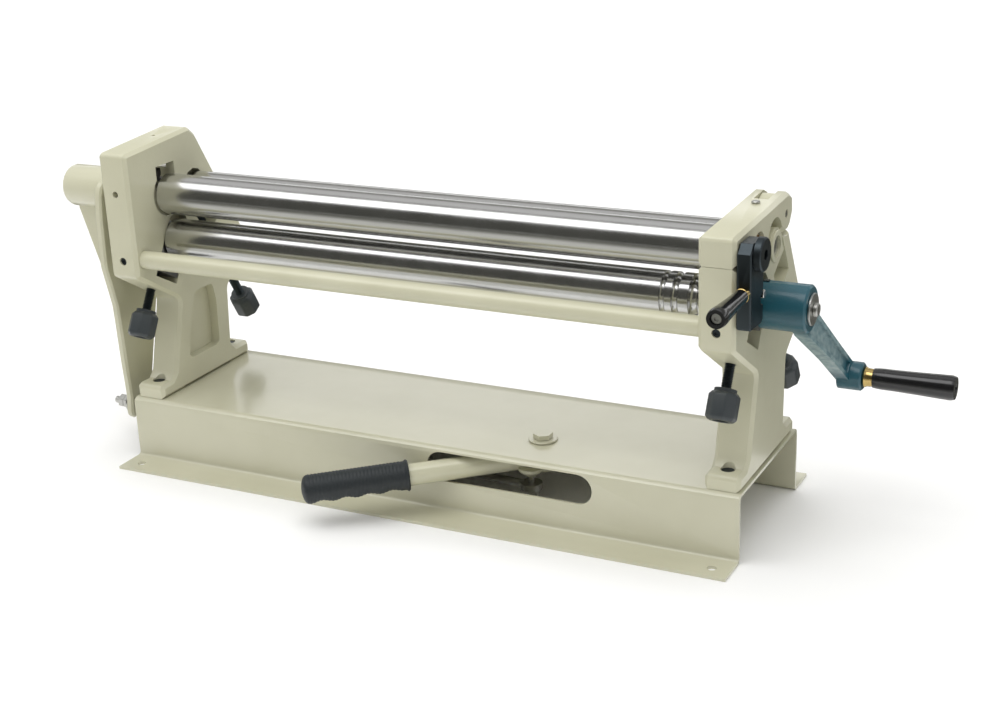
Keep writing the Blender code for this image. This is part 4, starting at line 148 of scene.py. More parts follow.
ROOM_STRENGTH = 0.76
world = bpy.data.worlds.new("studio")
bpy.context.scene.world = world
world.use_nodes = True
direction = add_node(world, "TexCoord")
heights = add_node(world, "SeparateXYZ", sources={"Vector": direction.outputs["Generated"]})
rise = add_node(world, "MapRange", values={"From Min": -1.0, "From Max": 1.0},
                sources={"Value": heights.outputs["Z"]})
room = add_node(world, "ValToRGB", sources={"Fac": rise.outputs["Result"]})
set_ramp(room, [(0.0, "#f6f5f3"), (0.5, "#c4c3c1"), (0.75, "#ecebea"), (1.0, "#ffffff")])
world.node_tree.links.new(room.outputs["Color"], world.node_tree.nodes["Background"].inputs[0])
world.node_tree.nodes["Background"].inputs[1].default_value = ROOM_STRENGTH


# %% Lamps and floor
def softbox(name, place, aim, size, power, mirrored=True):
    """A wide area lamp at a place, looking at a point; mirrored says if steel reflects it."""
    lamp = bpy.data.lights.new(name, "AREA")
    lamp.shape = "RECTANGLE"
    lamp.size = size[0]
    lamp.size_y = size[1]
    lamp.energy = power
    holder = bpy.data.objects.new(name, lamp)
    holder.location = place
    holder.rotation_euler = (Vector(aim) - Vector(place)).to_track_quat("-Z", "Y").to_euler()
    holder.visible_glossy = mirrored
    bpy.context.scene.collection.objects.link(holder)


middle = (0, MACHINE_Y, 0.18)
softbox("ceiling", (-0.3, -0.57, 1.9), (-0.3, 0.0, 0.18), (2.6, 1.0), 17)
softbox("overhead", (0.0, 0.25, 2.0), (0.0, 0.12, 0.1), (2.6, 1.0), 8, False)
softbox("front_left", (-1.7, -1.7, 1.3), middle, (1.2, 1.4), 1, False)
softbox("backdrop", (-1.0, 3.4, 2.4), (-1.0, 3.6, 0.0), (6.0, 3.0), 80, False)

FLOOR_HALF = 14.0
floor_mesh = bpy.data.meshes.new("floor")
floor_mesh.from_pydata([(-FLOOR_HALF, -FLOOR_HALF, 0), (FLOOR_HALF, -FLOOR_HALF, 0),
                        (FLOOR_HALF, FLOOR_HALF, 0), (-FLOOR_HALF, FLOOR_HALF, 0)], [],
                       [(0, 1, 2, 3)])
floor = bpy.data.objects.new("floor", floor_mesh)
bpy.context.scene.collection.objects.link(floor)
paper = bpy.data.materials.new("white_studio_paper")
paper.use_nodes = True
paper.node_tree.nodes["Principled BSDF"].inputs["Base Color"].default_value = to_linear("#fbfbfa")
paper.node_tree.nodes["Principled BSDF"].inputs["Roughness"].default_value = 0.9
floor_mesh.materials.append(paper)

# %% [markdown]
# Polished steel shows only what stands around it, so a photographer sets cards round it. A dark
# card in front gives each roll its dark middle, and grey ones behind give its far edge, with a
# white one between them that puts a sheen on the base. The cards work in reflections alone: they
# cast no shadow and stay out of the picture.


# %% Cards
CARD_HALF_WIDTH = 3.6
CARD_LIFT = 0.003
CARD_REACH = 2.2
ROLLS_Y = 0.07
ROLLS_Z = 0.27


def card(name, profile, colour, strength=1.0):
    """A strip that carries a profile of (y, z) points along X; only reflections see it."""
    points = np.array([(side * CARD_HALF_WIDTH, y, z) for side in (-1, 1) for y, z in profile])
    rows = np.arange(len(profile) - 1)
    width = len(profile)
    faces = np.stack([rows, rows + 1, rows + 1 + width, rows + width], axis=1)
    mesh = bpy.data.meshes.new(name)
    mesh.from_pydata(points.tolist(), [], faces.tolist())
    board = bpy.data.objects.new(name, mesh)
    bpy.context.scene.collection.objects.link(board)
    tone = bpy.data.materials.new(name + "_tone")
    tone.use_nodes = True
    shader = tone.node_tree.nodes["Principled BSDF"]
    shader.inputs["Base Color"].default_value = to_linear("#000000")
    shader.inputs["Specular IOR Level"].default_value = 0.0
    shader.inputs["Emission Color"].default_value = to_linear(colour)
    shader.inputs["Emission Strength"].default_value = strength
    mesh.materials.append(tone)
    board.visible_camera = False
    board.visible_diffuse = False
    board.visible_shadow = False
    board.visible_transmission = False


def card_arc(first, last, steps=9):
    """Points on a circle round the rolls, from one height angle to another, in degrees."""
    angle = np.radians(np.linspace(first, last, steps))
    return list(zip(ROLLS_Y - CARD_REACH * np.cos(angle), ROLLS_Z + CARD_REACH * np.sin(angle)))


def floor_strip(name, first, last, colour):
    """A card flat on the floor in front, seen from the rolls between two angles below level."""
    near, far = (ROLLS_Y - ROLLS_Z / math.tan(math.radians(angle)) for angle in (first, last))
    card(name, [(near, CARD_LIFT), (far, CARD_LIFT)], colour)


floor_strip("first_strip", 50, 27, "#e0e0da")
floor_strip("near_strip", 27, 20, "#a8a8a2")
floor_strip("middle_strip", 20, 12, "#77776f")
floor_strip("far_strip", 12, 7, "#64645e")
card("front_card", card_arc(-6, 49), "#4e4e49")
card("top_card", card_arc(90, 98), "#85857f")
card("rear_upper_card", card_arc(134, 155), "#8f8f89")
card("rear_white_card", card_arc(156, 167), "#ffffff", 1.5)
card("rear_lower_card", card_arc(168, 180), "#6c6c66")
card("rear_floor_card", [(0.26, CARD_LIFT), (2.5, CARD_LIFT)], "#5e5e58")
print("lamps, floor and cards are in place")

# %% [markdown]
# ## Finishes
#
# Machine enamel is sprayed thick over rough castings, so it shows the sand's grain through the
# coat. On folded sheet it shows only a fine orange peel. One function makes both kinds, and the
# size of the grain tells them apart. The tint drifts over a hand's width, and the gloss over a
# finger's, as a spray gun leaves them. Real sand is finer than a millimetre, so the grain is
# drawn coarser to show.


# %% Enamel
TINT_PER_METRE = 9.0
GLOSS_PER_METRE = 60.0
STAINS_PER_METRE = 35.0


def new_finish(name, colour, metallic, roughness):
    """A material with its Principled shader and the object's own coordinates."""
    finish = bpy.data.materials.new(name)
    finish.use_nodes = True
    shader = finish.node_tree.nodes["Principled BSDF"]
    shader.inputs["Base Color"].default_value = to_linear(colour)
    shader.inputs["Metallic"].default_value = metallic
    shader.inputs["Roughness"].default_value = roughness
    place = add_node(finish, "TexCoord")
    return finish, shader, place.outputs["Object"]


def enamel(name, colour, shade, grain_mm, grain_depth, roughness, coat):
    """Sprayed enamel: a patchy tint, a grain under the coat and a slightly uneven gloss."""
    finish, shader, place = new_finish(name, colour, 0.0, roughness)
    shader.inputs["Coat Weight"].default_value = coat
    shader.inputs["Coat Roughness"].default_value = 0.18
    patches = add_node(finish, "TexNoise", values={"Scale": TINT_PER_METRE, "Detail": 5.0},
                       sources={"Vector": place})
    tint = add_node(finish, "ValToRGB", sources={"Fac": patches.outputs["Fac"]})
    set_ramp(tint, [(0.35, shade), (0.65, colour)])
    finish.node_tree.links.new(tint.outputs["Color"], shader.inputs["Base Color"])
    gloss = add_node(finish, "TexNoise", values={"Scale": GLOSS_PER_METRE, "Detail": 4.0},
                     sources={"Vector": place})
    spread = add_node(finish, "MapRange", values={"To Min": roughness - 0.08,
                                                  "To Max": roughness + 0.10},
                      sources={"Value": gloss.outputs["Fac"]})
    finish.node_tree.links.new(spread.outputs["Result"], shader.inputs["Roughness"])
    grain = add_node(finish, "TexNoise", values={"Scale": 1000 / grain_mm, "Detail": 3.0},
                     sources={"Vector": place})
    relief = add_node(finish, "Bump", values={"Strength": 1.0, "Distance": grain_depth},
                      sources={"Height": grain.outputs["Fac"]})
    finish.node_tree.links.new(relief.outputs["Normal"], shader.inputs["Normal"])
    return finish


cast_enamel = enamel("enamel_on_cast_iron", "#cdcbb1", "#c5c3a8", 2.6, 0.00016, 0.38, 0.6)
sheet_enamel = enamel("enamel_on_folded_steel", "#cbc9b1", "#c5c3aa", 1.4, 0.00004, 0.35, 0.9)
teal_enamel = enamel("teal_enamel_on_cast_iron", "#1f5a68", "#174b58", 3.4, 0.0003, 0.36, 0.35)

# %% [markdown]
# Hands and gloves rub the crank's arm, and its teal has turned chalky there. The lighter teal
# there is also painted sheen, standing in for light on the arm's faces. The scuffs and painted
# sheen are a noise with 7 mm flecks that fades out towards the hub and the boss, which stay clean.

# %% Scuffs and painted sheen on the crank
CRANK_REACH = 0.140
SCUFF_AND_SHEEN_MM = 7
place = add_node(teal_enamel, "TexCoord").outputs["Object"]
flat = add_node(teal_enamel, "VectorMath", {"operation": "MULTIPLY"}, {1: (0, 1, 1)}, {0: place})
reach = add_node(teal_enamel, "VectorMath", {"operation": "DISTANCE"}, {1: LOWER_AXIS},
                 {0: flat.outputs["Vector"]})
arm_share = add_node(teal_enamel, "MapRange", values={"From Max": CRANK_REACH},
                     sources={"Value": reach.outputs["Value"]})
on_arm = add_node(teal_enamel, "ValToRGB", sources={"Fac": arm_share.outputs["Result"]})
set_ramp(on_arm, [(0.19, "#000000"), (0.27, "#ffffff"), (0.78, "#ffffff"), (0.87, "#000000")])
flecks = add_node(teal_enamel, "TexNoise", values={"Scale": 1000 / SCUFF_AND_SHEEN_MM, "Detail": 3.0},
                  sources={"Vector": place})
fleck_share = add_node(teal_enamel, "MapRange", values={"From Min": 0.36, "From Max": 0.64,
                                                        "To Min": 0.35, "To Max": 0.75},
                       sources={"Value": flecks.outputs["Fac"]})
scuff_and_sheen_share = add_node(teal_enamel, "Math", {"operation": "MULTIPLY"},
                   sources={0: on_arm.outputs["Color"], 1: fleck_share.outputs["Result"]})
teal_shader = teal_enamel.node_tree.nodes["Principled BSDF"]
clean_teal = teal_shader.inputs["Base Color"].links[0].from_socket
# Lighter teal on the arm: worn paint and painted sheen together, mixed into the base colour.
worn_and_sheen_teal = add_node(teal_enamel, "Mix", {"data_type": "RGBA"}, {7: to_linear("#9fb4b5")},
                     {0: scuff_and_sheen_share.outputs["Value"], 6: clean_teal})
teal_enamel.node_tree.links.new(worn_and_sheen_teal.outputs[2], teal_shader.inputs["Base Color"])

# %% [markdown]
# Ground and turned steel have fine lines that run round the piece, because the stone or tool
# stayed still while the work turned. A noise that is squeezed along the piece's axis and left
# long across it gives those lines. The real ones are a few microns wide, so they are drawn
# coarser to show.


# %% Metals
def bright_metal(name, colour, roughness, line_mm, stretch, depth):
    """Bare metal with fine tool lines; stretch is the pattern's fineness along X, Y and Z."""
    finish, shader, place = new_finish(name, colour, 1.0, roughness)
    squeeze = add_node(finish, "Mapping", values={"Scale": stretch}, sources={"Vector": place})
    lines = add_node(finish, "TexNoise", values={"Scale": 1000 / line_mm, "Detail": 4.0},
                     sources={"Vector": squeeze.outputs["Vector"]})
    stains = add_node(finish, "TexNoise", values={"Scale": STAINS_PER_METRE, "Detail": 6.0},
                      sources={"Vector": place})
    mixed = add_node(finish, "Math", {"operation": "MULTIPLY_ADD"}, {1: 0.6},
                     {0: lines.outputs["Fac"], 2: stains.outputs["Fac"]})
    spread = add_node(finish, "MapRange", values={"From Min": 0.4, "From Max": 1.2,
                                                  "To Min": roughness * 0.75,
                                                  "To Max": roughness * 1.35},
                      sources={"Value": mixed.outputs["Value"]})
    finish.node_tree.links.new(spread.outputs["Result"], shader.inputs["Roughness"])
    relief = add_node(finish, "Bump", values={"Strength": 0.6, "Distance": depth},
                      sources={"Height": lines.outputs["Fac"]})
    finish.node_tree.links.new(relief.outputs["Normal"], shader.inputs["Normal"])
    return finish


ground_steel = bright_metal("ground_polished_steel", "#c9c9c8", 0.20, 1.2, (1, 0.02, 0.02), 4e-6)
machined_steel = bright_metal("milled_steel", "#8f8f90", 0.36, 0.9, (0.05, 1, 0.05), 1e-5)
gear_steel = bright_metal("greased_cut_steel", "#77757a", 0.32, 1.0, (1, 1, 1), 1e-5)
turned_brass = bright_metal("turned_brass", "#cbb173", 0.20, 0.7, (1, 0.05, 0.05), 8e-6)
bearing_bronze = bright_metal("bearing_bronze", "#a87a48", 0.34, 0.7, (1, 0.05, 0.05), 8e-6)
zinc_plate = bright_metal("zinc_plated_steel", "#bdbdb9", 0.34, 1.1, (1, 1, 1), 1e-5)
black_oxide = bright_metal("black_oxide_steel", "#454c50", 0.38, 1.2, (1, 1, 1), 1.2e-5)


# %% [markdown]
# The knobs and handles are moulded plastic. Phenolic handles are glossy and almost perfectly
# black, the knobs are a duller dark grey, and the lever's soft grip is matte vinyl. The mould's
# fine texture is drawn coarser too.


# %% Plastics
def moulded(name, colour, roughness, grain_mm, depth, coat):
    """Moulded plastic with a faint mould texture."""
    finish, shader, place = new_finish(name, colour, 0.0, roughness)
    shader.inputs["Coat Weight"].default_value = coat
    shader.inputs["Coat Roughness"].default_value = 0.1
    grain = add_node(finish, "TexNoise", values={"Scale": 1000 / grain_mm, "Detail": 4.0},
                     sources={"Vector": place})
    spread = add_node(finish, "MapRange", values={"To Min": roughness - 0.06,
                                                  "To Max": roughness + 0.10},
                      sources={"Value": grain.outputs["Fac"]})
    finish.node_tree.links.new(spread.outputs["Result"], shader.inputs["Roughness"])
    relief = add_node(finish, "Bump", values={"Strength": 1.0, "Distance": depth},
                      sources={"Height": grain.outputs["Fac"]})
    finish.node_tree.links.new(relief.outputs["Normal"], shader.inputs["Normal"])
    return finish


knob_plastic = moulded("grey_glass_filled_nylon", "#393f42", 0.42, 1.2, 0.00004, 0.1)
phenolic = moulded("black_phenolic", "#141416", 0.22, 2.0, 0.00001, 0.5)
soft_vinyl = moulded("black_soft_vinyl", "#23292c", 0.52, 1.1, 0.00005, 0.0)
FINISH_OF_SLOT = {
    "cast_paint": cast_enamel, "base_paint": sheet_enamel, "polished_steel": ground_steel,
    "block_steel": machined_steel, "gear_steel": gear_steel, "black_steel": black_oxide,
    "knob_grey": knob_plastic, "crank_paint": teal_enamel, "black_grip": phenolic,
    "black_rubber": soft_vinyl, "brass": turned_brass, "bronze": bearing_bronze,
    "zinc": zinc_plate,
}
slot_of_node = {part["node"]: part["material_slot"] for part in frame["record"]["subparts"]}
body_of_node = {node: body for body, nodes in frame["record"]["behaviour"]["bodies"].items()
                for node in nodes}
print("finishes:", len(FINISH_OF_SLOT))

# %% [markdown]
# ## Castings and folded sheet
#
# The frame's own solids have the right outlines, but their edges are sharp and their faces are
# loose triangles. Each is copied, merged and given a small rounded edge, which is what catches
# the light on a real casting. The copy also closes the heads' outer windows, and the right
# head's rear block is painted over with its casting.


# %% Dress the frame's solids
EDGE_WIDTHS = {"left_frame": 0.0012, "right_frame": 0.0012, "bearing_cap": 0.0012,
               "release_arm": 0.0014, "base_channel": 0.0005, "crank_arm": 0.0012}
FINE_EDGE = 0.0003
FLAT_ANGLE = math.radians(1.2)
SOFT_ANGLE = math.radians(32)


def finish_piece(piece, body, slot, edge=0):
    """Gives a piece its finish, its rounded edges and the body that it rides on."""
    piece.data.materials.clear()
    piece.data.materials.append(FINISH_OF_SLOT[slot])
    if edge > 0:
        rounding = piece.modifiers.new("edges", "BEVEL")
        rounding.width = edge
        rounding.segments = 2
        rounding.limit_method = "ANGLE"
        rounding.angle_limit = SOFT_ANGLE
        rounding.harden_normals = True
        rounding.use_clamp_overlap = True
    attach(piece, body)


WINDOW_LOW = (MACHINE_Y - 0.033, 0.0975)
WINDOW_HIGH = (MACHINE_Y + 0.028, 0.172)
WINDOW_DEPTH = 0.0103
HEAD_OUTER_X = 0.343


def close_outer_window(builder):
    """Takes the pocket out of a head's outer face, which the photograph shows plain."""
    pocket = []
    for face in builder.faces:
        x, y, z = face.calc_center_median()
        if (HEAD_OUTER_X - WINDOW_DEPTH < abs(x) < HEAD_OUTER_X - 0.0001
                and WINDOW_LOW[0] < y < WINDOW_HIGH[0] and WINDOW_LOW[1] < z < WINDOW_HIGH[1]):
            pocket.append(face)
    bmesh.ops.delete(builder, geom=pocket, context="FACES")
    rim = [edge for edge in builder.edges if edge.is_boundary]
    patch = bmesh.ops.contextual_create(builder, geom=rim)["faces"]
    bmesh.ops.recalc_face_normals(builder, faces=builder.faces)
    print("closed a window with", len(patch), "face from", len(pocket), "pocket faces")


SHOWN_AS = {"rear_block_right": "cast_paint", "crank_key": "black_steel"}


def dress(node_name):
    """Puts a merged copy of a CAD node, with rounded edges, in the node's place."""
    mesh = frame["nodes"][node_name].data.copy()
    mesh.name = node_name + "_skin"
    builder = bmesh.new()
    builder.from_mesh(mesh)
    bmesh.ops.remove_doubles(builder, verts=builder.verts, dist=0.00001)
    bmesh.ops.dissolve_limit(builder, angle_limit=FLAT_ANGLE, verts=builder.verts,
                             edges=builder.edges)
    if node_name in ("left_frame", "right_frame"):
        close_outer_window(builder)
    builder.to_mesh(mesh)
    builder.free()
    mesh.shade_smooth()
    mesh.set_sharp_from_angle(angle=SOFT_ANGLE)
    piece = bpy.data.objects.new(node_name + "_skin", mesh)
    bpy.context.scene.collection.objects.link(piece)
    slot = SHOWN_AS.get(node_name, slot_of_node[node_name])
    finish_piece(piece, body_of_node[node_name], slot, EDGE_WIDTHS.get(node_name, FINE_EDGE))
    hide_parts(node_name)


DRESSED_NODES = ["base_channel", "left_frame", "right_frame", "bearing_cap", "release_arm",
                 "crank_arm", "latch_bar", "latch_pivot_screw", "release_lever",
                 "lower_block_left", "lower_block_right", "rear_block_left", "rear_block_right",
                 "lower_gear", "upper_gear", "link_rod", "link_pin_nut", "rod_nut_inner",
                 "rod_nut_outer", "crank_screw", "crank_key", "lever_pivot_bolt",
                 "cap_oil_plug", "rod_washer", "tie_bar_screw_left", "tie_bar_screw_right",
                 "pad_bolt_left_front", "pad_bolt_left_rear", "pad_bolt_right_front",
                 "pad_bolt_right_rear"]
for node_name in DRESSED_NODES:
    dress(node_name)
print("dressed solids:", len(DRESSED_NODES))


# %% [markdown]
# ## Turned pieces
#
# Rolls, bushes, washers and handles all come off a lathe, so one function makes them: a profile
# of distance and radius, carried round an axis. Enough steps round the piece keep the outline
# smooth in a close view.


# %% Surface helper
def surface(name, grid, loop_along=False):
    """A closed mesh over a grid of points; row i, column j joins its neighbours in both ways."""
    rows, columns = grid.shape[:2]
    number = np.arange(rows * columns).reshape(rows, columns)
    lower = number if loop_along else number[:-1]
    upper = np.roll(number, -1, axis=0) if loop_along else number[1:]
    quads = np.stack([lower, np.roll(lower, -1, axis=1), np.roll(upper, -1, axis=1), upper],
                     axis=-1)
    faces = quads.reshape(-1, 4).tolist()
    if not loop_along:
        faces.append(number[0].tolist())
        faces.append(number[-1].tolist())
    mesh = bpy.data.meshes.new(name)
    mesh.from_pydata(grid.reshape(-1, 3).tolist(), [], faces)
    builder = bmesh.new()
    builder.from_mesh(mesh)
    bmesh.ops.recalc_face_normals(builder, faces=builder.faces)
    builder.to_mesh(mesh)
    builder.free()
    mesh.shade_smooth()
    mesh.set_sharp_from_angle(angle=SOFT_ANGLE)
    piece = bpy.data.objects.new(name, mesh)
    bpy.context.scene.collection.objects.link(piece)
    return piece


def cross_axes(axis):
    """The unit vector along an axis and two unit vectors across it."""
    along = np.array(axis, dtype=float)
    along = along / np.linalg.norm(along)
    helper = np.array([0.0, 0.0, 1.0]) if abs(along[2]) < 0.9 else np.array([0.0, 1.0, 0.0])
    across = np.cross(along, helper)
    across = across / np.linalg.norm(across)
    return along, across, np.cross(along, across)


def turned(name, node_name, profile, start, axis, around=96, loop_along=False, slot=None):
    """Point(s, t) = start + axis * x(s) + r(s) * (across * cos t + up * sin t)."""
    distance, radius = np.array(profile, dtype=float).T
    along, across, upward = cross_axes(axis)
    angle = np.linspace(0, 2 * np.pi, around, endpoint=False)
    rim = np.cos(angle)[:, None] * across + np.sin(angle)[:, None] * upward
    centre = np.array(start, dtype=float) + distance[:, None] * along
    piece = surface(name, centre[:, None, :] + radius[:, None, None] * rim, loop_along)
    finish_piece(piece, body_of_node[node_name], slot or slot_of_node[node_name])
    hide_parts(node_name)


# %% [markdown]
# The rolls are ground bars with a small chamfer at each end. The lower one has three wire
# grooves near the crank, each a little wider than the last, for three sizes of wire.

# %% Rolls
ROLL_RADIUS = 0.0215
ROLL_END = 0.3068
CHAMFER = 0.0008
ROLL_STEPS = 160
BUSH_NECK = 0.012
BLOCK_NECK = 0.010
GEAR_SHOULDER_X = -0.3396
GEAR_SHOULDER_RADIUS = 0.013
WIRE_GROOVES = ((0.2553, 0.0027), (0.2679, 0.0034), (0.2858, 0.0050))


def half_round(centre, half_width):
    """A wire groove's section: a half circle sunk in the roll."""
    angle = np.linspace(0, np.pi, 13)
    return list(zip(centre - half_width * np.cos(angle), ROLL_RADIUS - half_width * np.sin(angle)))


def roll_profile(left_neck, right_end, right_radius, grooves=()):
    """Neck, chamfered body with any grooves, journal; the neck is a list of its own points."""
    profile = left_neck + [(-ROLL_END, left_neck[-1][1]), (-ROLL_END, ROLL_RADIUS - CHAMFER),
                           (-ROLL_END + CHAMFER, ROLL_RADIUS)]
    for centre, half_width in grooves:
        profile += half_round(centre, half_width)
    profile += [(ROLL_END - CHAMFER, ROLL_RADIUS), (ROLL_END, ROLL_RADIUS - CHAMFER),
                (ROLL_END, right_radius), (right_end - CHAMFER, right_radius),
                (right_end, right_radius - CHAMFER)]
    return profile


def plain_neck(left_end, radius):
    """A journal with a chamfered end."""
    return [(left_end, radius - CHAMFER), (left_end + CHAMFER, radius)]


upper_neck = (plain_neck(-0.417, BUSH_NECK)
              + [(GEAR_SHOULDER_X, BUSH_NECK), (GEAR_SHOULDER_X, GEAR_SHOULDER_RADIUS)])
turned("upper_roll_ground", "upper_roll", roll_profile(upper_neck, 0.3397, BUSH_NECK), UPPER_AXIS,
       ALONG_X, ROLL_STEPS)
turned("lower_roll_ground", "lower_roll",
       roll_profile(plain_neck(-0.3395, BLOCK_NECK), 0.3890, BLOCK_NECK, WIRE_GROOVES), LOWER_AXIS,
       ALONG_X, ROLL_STEPS)
turned("rear_roll_ground", "rear_roll",
       roll_profile(plain_neck(-0.3177, BLOCK_NECK), 0.3419, BLOCK_NECK), REAR_AXIS, ALONG_X,
       ROLL_STEPS)

# %% [markdown]
# The tie bar keeps the heads apart. It is the same kind of bar as the rolls, but painted with the
# castings, so it has their enamel.

# %% Tie bar and small turned parts


def bar_profile(first, last, radius, chamfer):
    """A plain bar with chamfered ends."""
    return [(first, radius - chamfer), (first + chamfer, radius), (last - chamfer, radius),
            (last, radius - chamfer)]


def ring_profile(first, last, inner, outer, chamfer):
    """A washer or bush: inner wall, chamfered outer wall and two faces."""
    return [(first, inner), (first, outer - chamfer), (first + chamfer, outer),
            (last - chamfer, outer), (last, outer - chamfer), (last, inner)]


ARM_PIN_FRONT = (-0.3255, -0.0955 + MACHINE_Y, 0.3007)
ARM_PIN_REAR = (-0.3255, -0.0068 + MACHINE_Y, 0.3007)
LEVER_PIVOT = (0.1208, -0.033 + MACHINE_Y, 0)
# Node, ending of the piece's name, start, axis, first, last, radius, chamfer and steps round it.
BARS = [
    ("tie_bar", "painted", TIE_BAR_AXIS, ALONG_X, -0.333, 0.333, 0.0096, 0.001, 96),
    ("cap_hinge_pin", "turned", HINGE_AXIS, ALONG_X, 0.3085, 0.3425, 0.004, 0.0006, 64),
    ("keeper_pin", "turned", KEEPER_AXIS, ALONG_X, 0.331, 0.357, 0.004, 0.0006, 64),
    ("arm_pin_front", "turned", ARM_PIN_FRONT, ALONG_Y, 0, 0.0247, 0.0032, 0.0005, 64),
    ("arm_pin_rear", "turned", ARM_PIN_REAR, ALONG_Y, 0, 0.0420, 0.0032, 0.0005, 64),
]
for node_name, ending, start, axis, first, last, radius, chamfer, around in BARS:
    turned(node_name + "_" + ending, node_name, bar_profile(first, last, radius, chamfer), start,
           axis, around)
# Node, start, axis, first, last, inner radius, outer radius and chamfer.
RINGS = [
    ("upper_bush_left", UPPER_AXIS, ALONG_X, -0.4187, -0.3557, 0.0123, 0.0158, 0.0005),
    ("upper_bush_right", UPPER_AXIS, ALONG_X, 0.3086, 0.33985, 0.0123, 0.0158, 0.0008),
    ("crank_washer", LOWER_AXIS, ALONG_X, 0.3913, 0.3935, 0.0043, 0.015, 0.0004),
    ("lever_washer", LEVER_PIVOT, ALONG_Z, 0.0693, 0.0713, 0.0063, 0.0145, 0.0005),
    ("lever_spacer", LEVER_PIVOT, ALONG_Z, 0.0643, 0.0657, 0.0063, 0.0145, 0.0002),
]
for node_name, start, axis, first, last, inner, outer, chamfer in RINGS:
    turned(node_name + "_turned", node_name, ring_profile(first, last, inner, outer, chamfer),
           start, axis, loop_along=True)
turned("rear_block_collar", "rear_block_right",
       ring_profile(0.3415, 0.3441, 0.0104, 0.0152, 0.0007), REAR_AXIS, ALONG_X, loop_along=True,
       slot="cast_paint")
print("turned steel is in place")

# %% [markdown]
# ## Handles
#
# The crank's grip is a tapered plastic handle that swells towards the hand's heel, with a brass
# ferrule where it meets the boss. The latch has the same handle in small. Their curves come from
# a few radii that a smooth spline joins.


# %% Handles
def smooth_profile(stations, radii, length, steps):
    """Radius along a handle: a cubic through the stations, with its slope from neighbours."""
    place = np.array(stations)
    value = np.array(radii)
    slope = np.gradient(value, place)
    share = np.linspace(0, 1, steps)
    index = np.clip(np.searchsorted(place, share, side="right") - 1, 0, len(place) - 2)
    width = place[index + 1] - place[index]
    t = (share - place[index]) / width
    radius = ((2 * t**3 - 3 * t**2 + 1) * value[index] + (t**3 - 2 * t**2 + t) * width
              * slope[index] + (-2 * t**3 + 3 * t**2) * value[index + 1]
              + (t**3 - t**2) * width * slope[index + 1])
    return list(zip(share * length, radius))


CRANK_ANGLE = math.radians(-44)
GRIP_START_X = 0.4246
GRIP_LENGTH = 0.0775
FERRULE_START_X = 0.4153
STUD_START_X = 0.3938
STUD_BORE = 0.0043
boss_centre = (LOWER_AXIS[1] + CRANK_REACH * math.cos(CRANK_ANGLE),
               LOWER_AXIS[2] + CRANK_REACH * math.sin(CRANK_ANGLE))
grip_curve = smooth_profile((0, 0.06, 0.25, 0.5, 0.72, 0.88, 0.96, 1.0),
                            (0.0094, 0.0099, 0.0102, 0.0107, 0.0113, 0.0117, 0.0117, 0.0108),
                            GRIP_LENGTH, 60)
turned("crank_grip_moulded", "crank_grip",
       [(0.0543, STUD_BORE), (0.0001, STUD_BORE)] + grip_curve
       + [(GRIP_LENGTH, 0.0045), (0.0760, 0.0040)],
       (GRIP_START_X, *boss_centre), ALONG_X)
turned("crank_ferrule_turned", "crank_ferrule",
       [(0, STUD_BORE), (0, 0.0088), (0.0006, 0.0096), (0.0016, 0.0100), (0.0026, 0.0094),
        (0.0034, 0.0090), (0.0060, 0.0088), (0.0078, 0.0086), (0.0090, 0.0084),
        (0.0090, STUD_BORE)],
       (FERRULE_START_X, *boss_centre), ALONG_X, loop_along=True)
turned("crank_grip_stud_turned", "crank_grip_stud", bar_profile(0, 0.0847, 0.004, 0.0005),
       (STUD_START_X, *boss_centre), ALONG_X, 64)
LATCH_X = 0.3502
LATCH_Z = 0.268
LATCH_LENGTH = 0.0647
LATCH_BORE = 0.0038
TOWARDS_HAND = (0, -1, 0)
turned("latch_ferrule_turned", "latch_ferrule",
       ring_profile(0, 0.006, LATCH_BORE, 0.0068, 0.0008),
       (LATCH_X, -0.1023 + MACHINE_Y, LATCH_Z), TOWARDS_HAND, loop_along=True)
latch_curve = smooth_profile((0, 0.35, 0.75, 0.95, 1.0),
                             (0.0066, 0.0072, 0.0085, 0.0090, 0.0084), LATCH_LENGTH, 40)
turned("latch_handle_moulded", "latch_handle",
       [(0, LATCH_BORE)] + latch_curve
       + [(LATCH_LENGTH, 0.0053), (0.0602, 0.0053), (0.0602, LATCH_BORE)],
       (LATCH_X, -0.1086 + MACHINE_Y, LATCH_Z), TOWARDS_HAND, loop_along=True)
turned("latch_handle_screw_turned", "latch_handle_screw",
       [(0, 0.003), (0.0005, 0.0035), (0.0723, 0.0035), (0.0723, 0.0048), (0.0742, 0.0050),
        (0.0747, 0.0045), (0.0747, 0.0024), (0.0735, 0.0022)],
       (LATCH_X, -0.0963 + MACHINE_Y, LATCH_Z), TOWARDS_HAND, 64, slot="zinc")
print("handles are in place")

# %% [markdown]
# ## Adjusting screws and knobs
#
# Four black screws set the lower and the rear roll. Each carries a real thread: the radius falls
# from crest to root as the point moves one pitch along the screw or one turn round it.


# %% Screws and knobs
SCREW_PITCH = 0.0015
SCREW_RADIUS = 0.005
THREAD_DEPTH = 0.00085
ROWS_PER_PITCH = 8
SCREW_STEPS = 40
SLOT_TILT = math.radians(30)
FRONT_UP = np.array([0, math.sin(SLOT_TILT), math.cos(SLOT_TILT)])
REAR_UP = np.array([0, -math.sin(SLOT_TILT), math.cos(SLOT_TILT)])


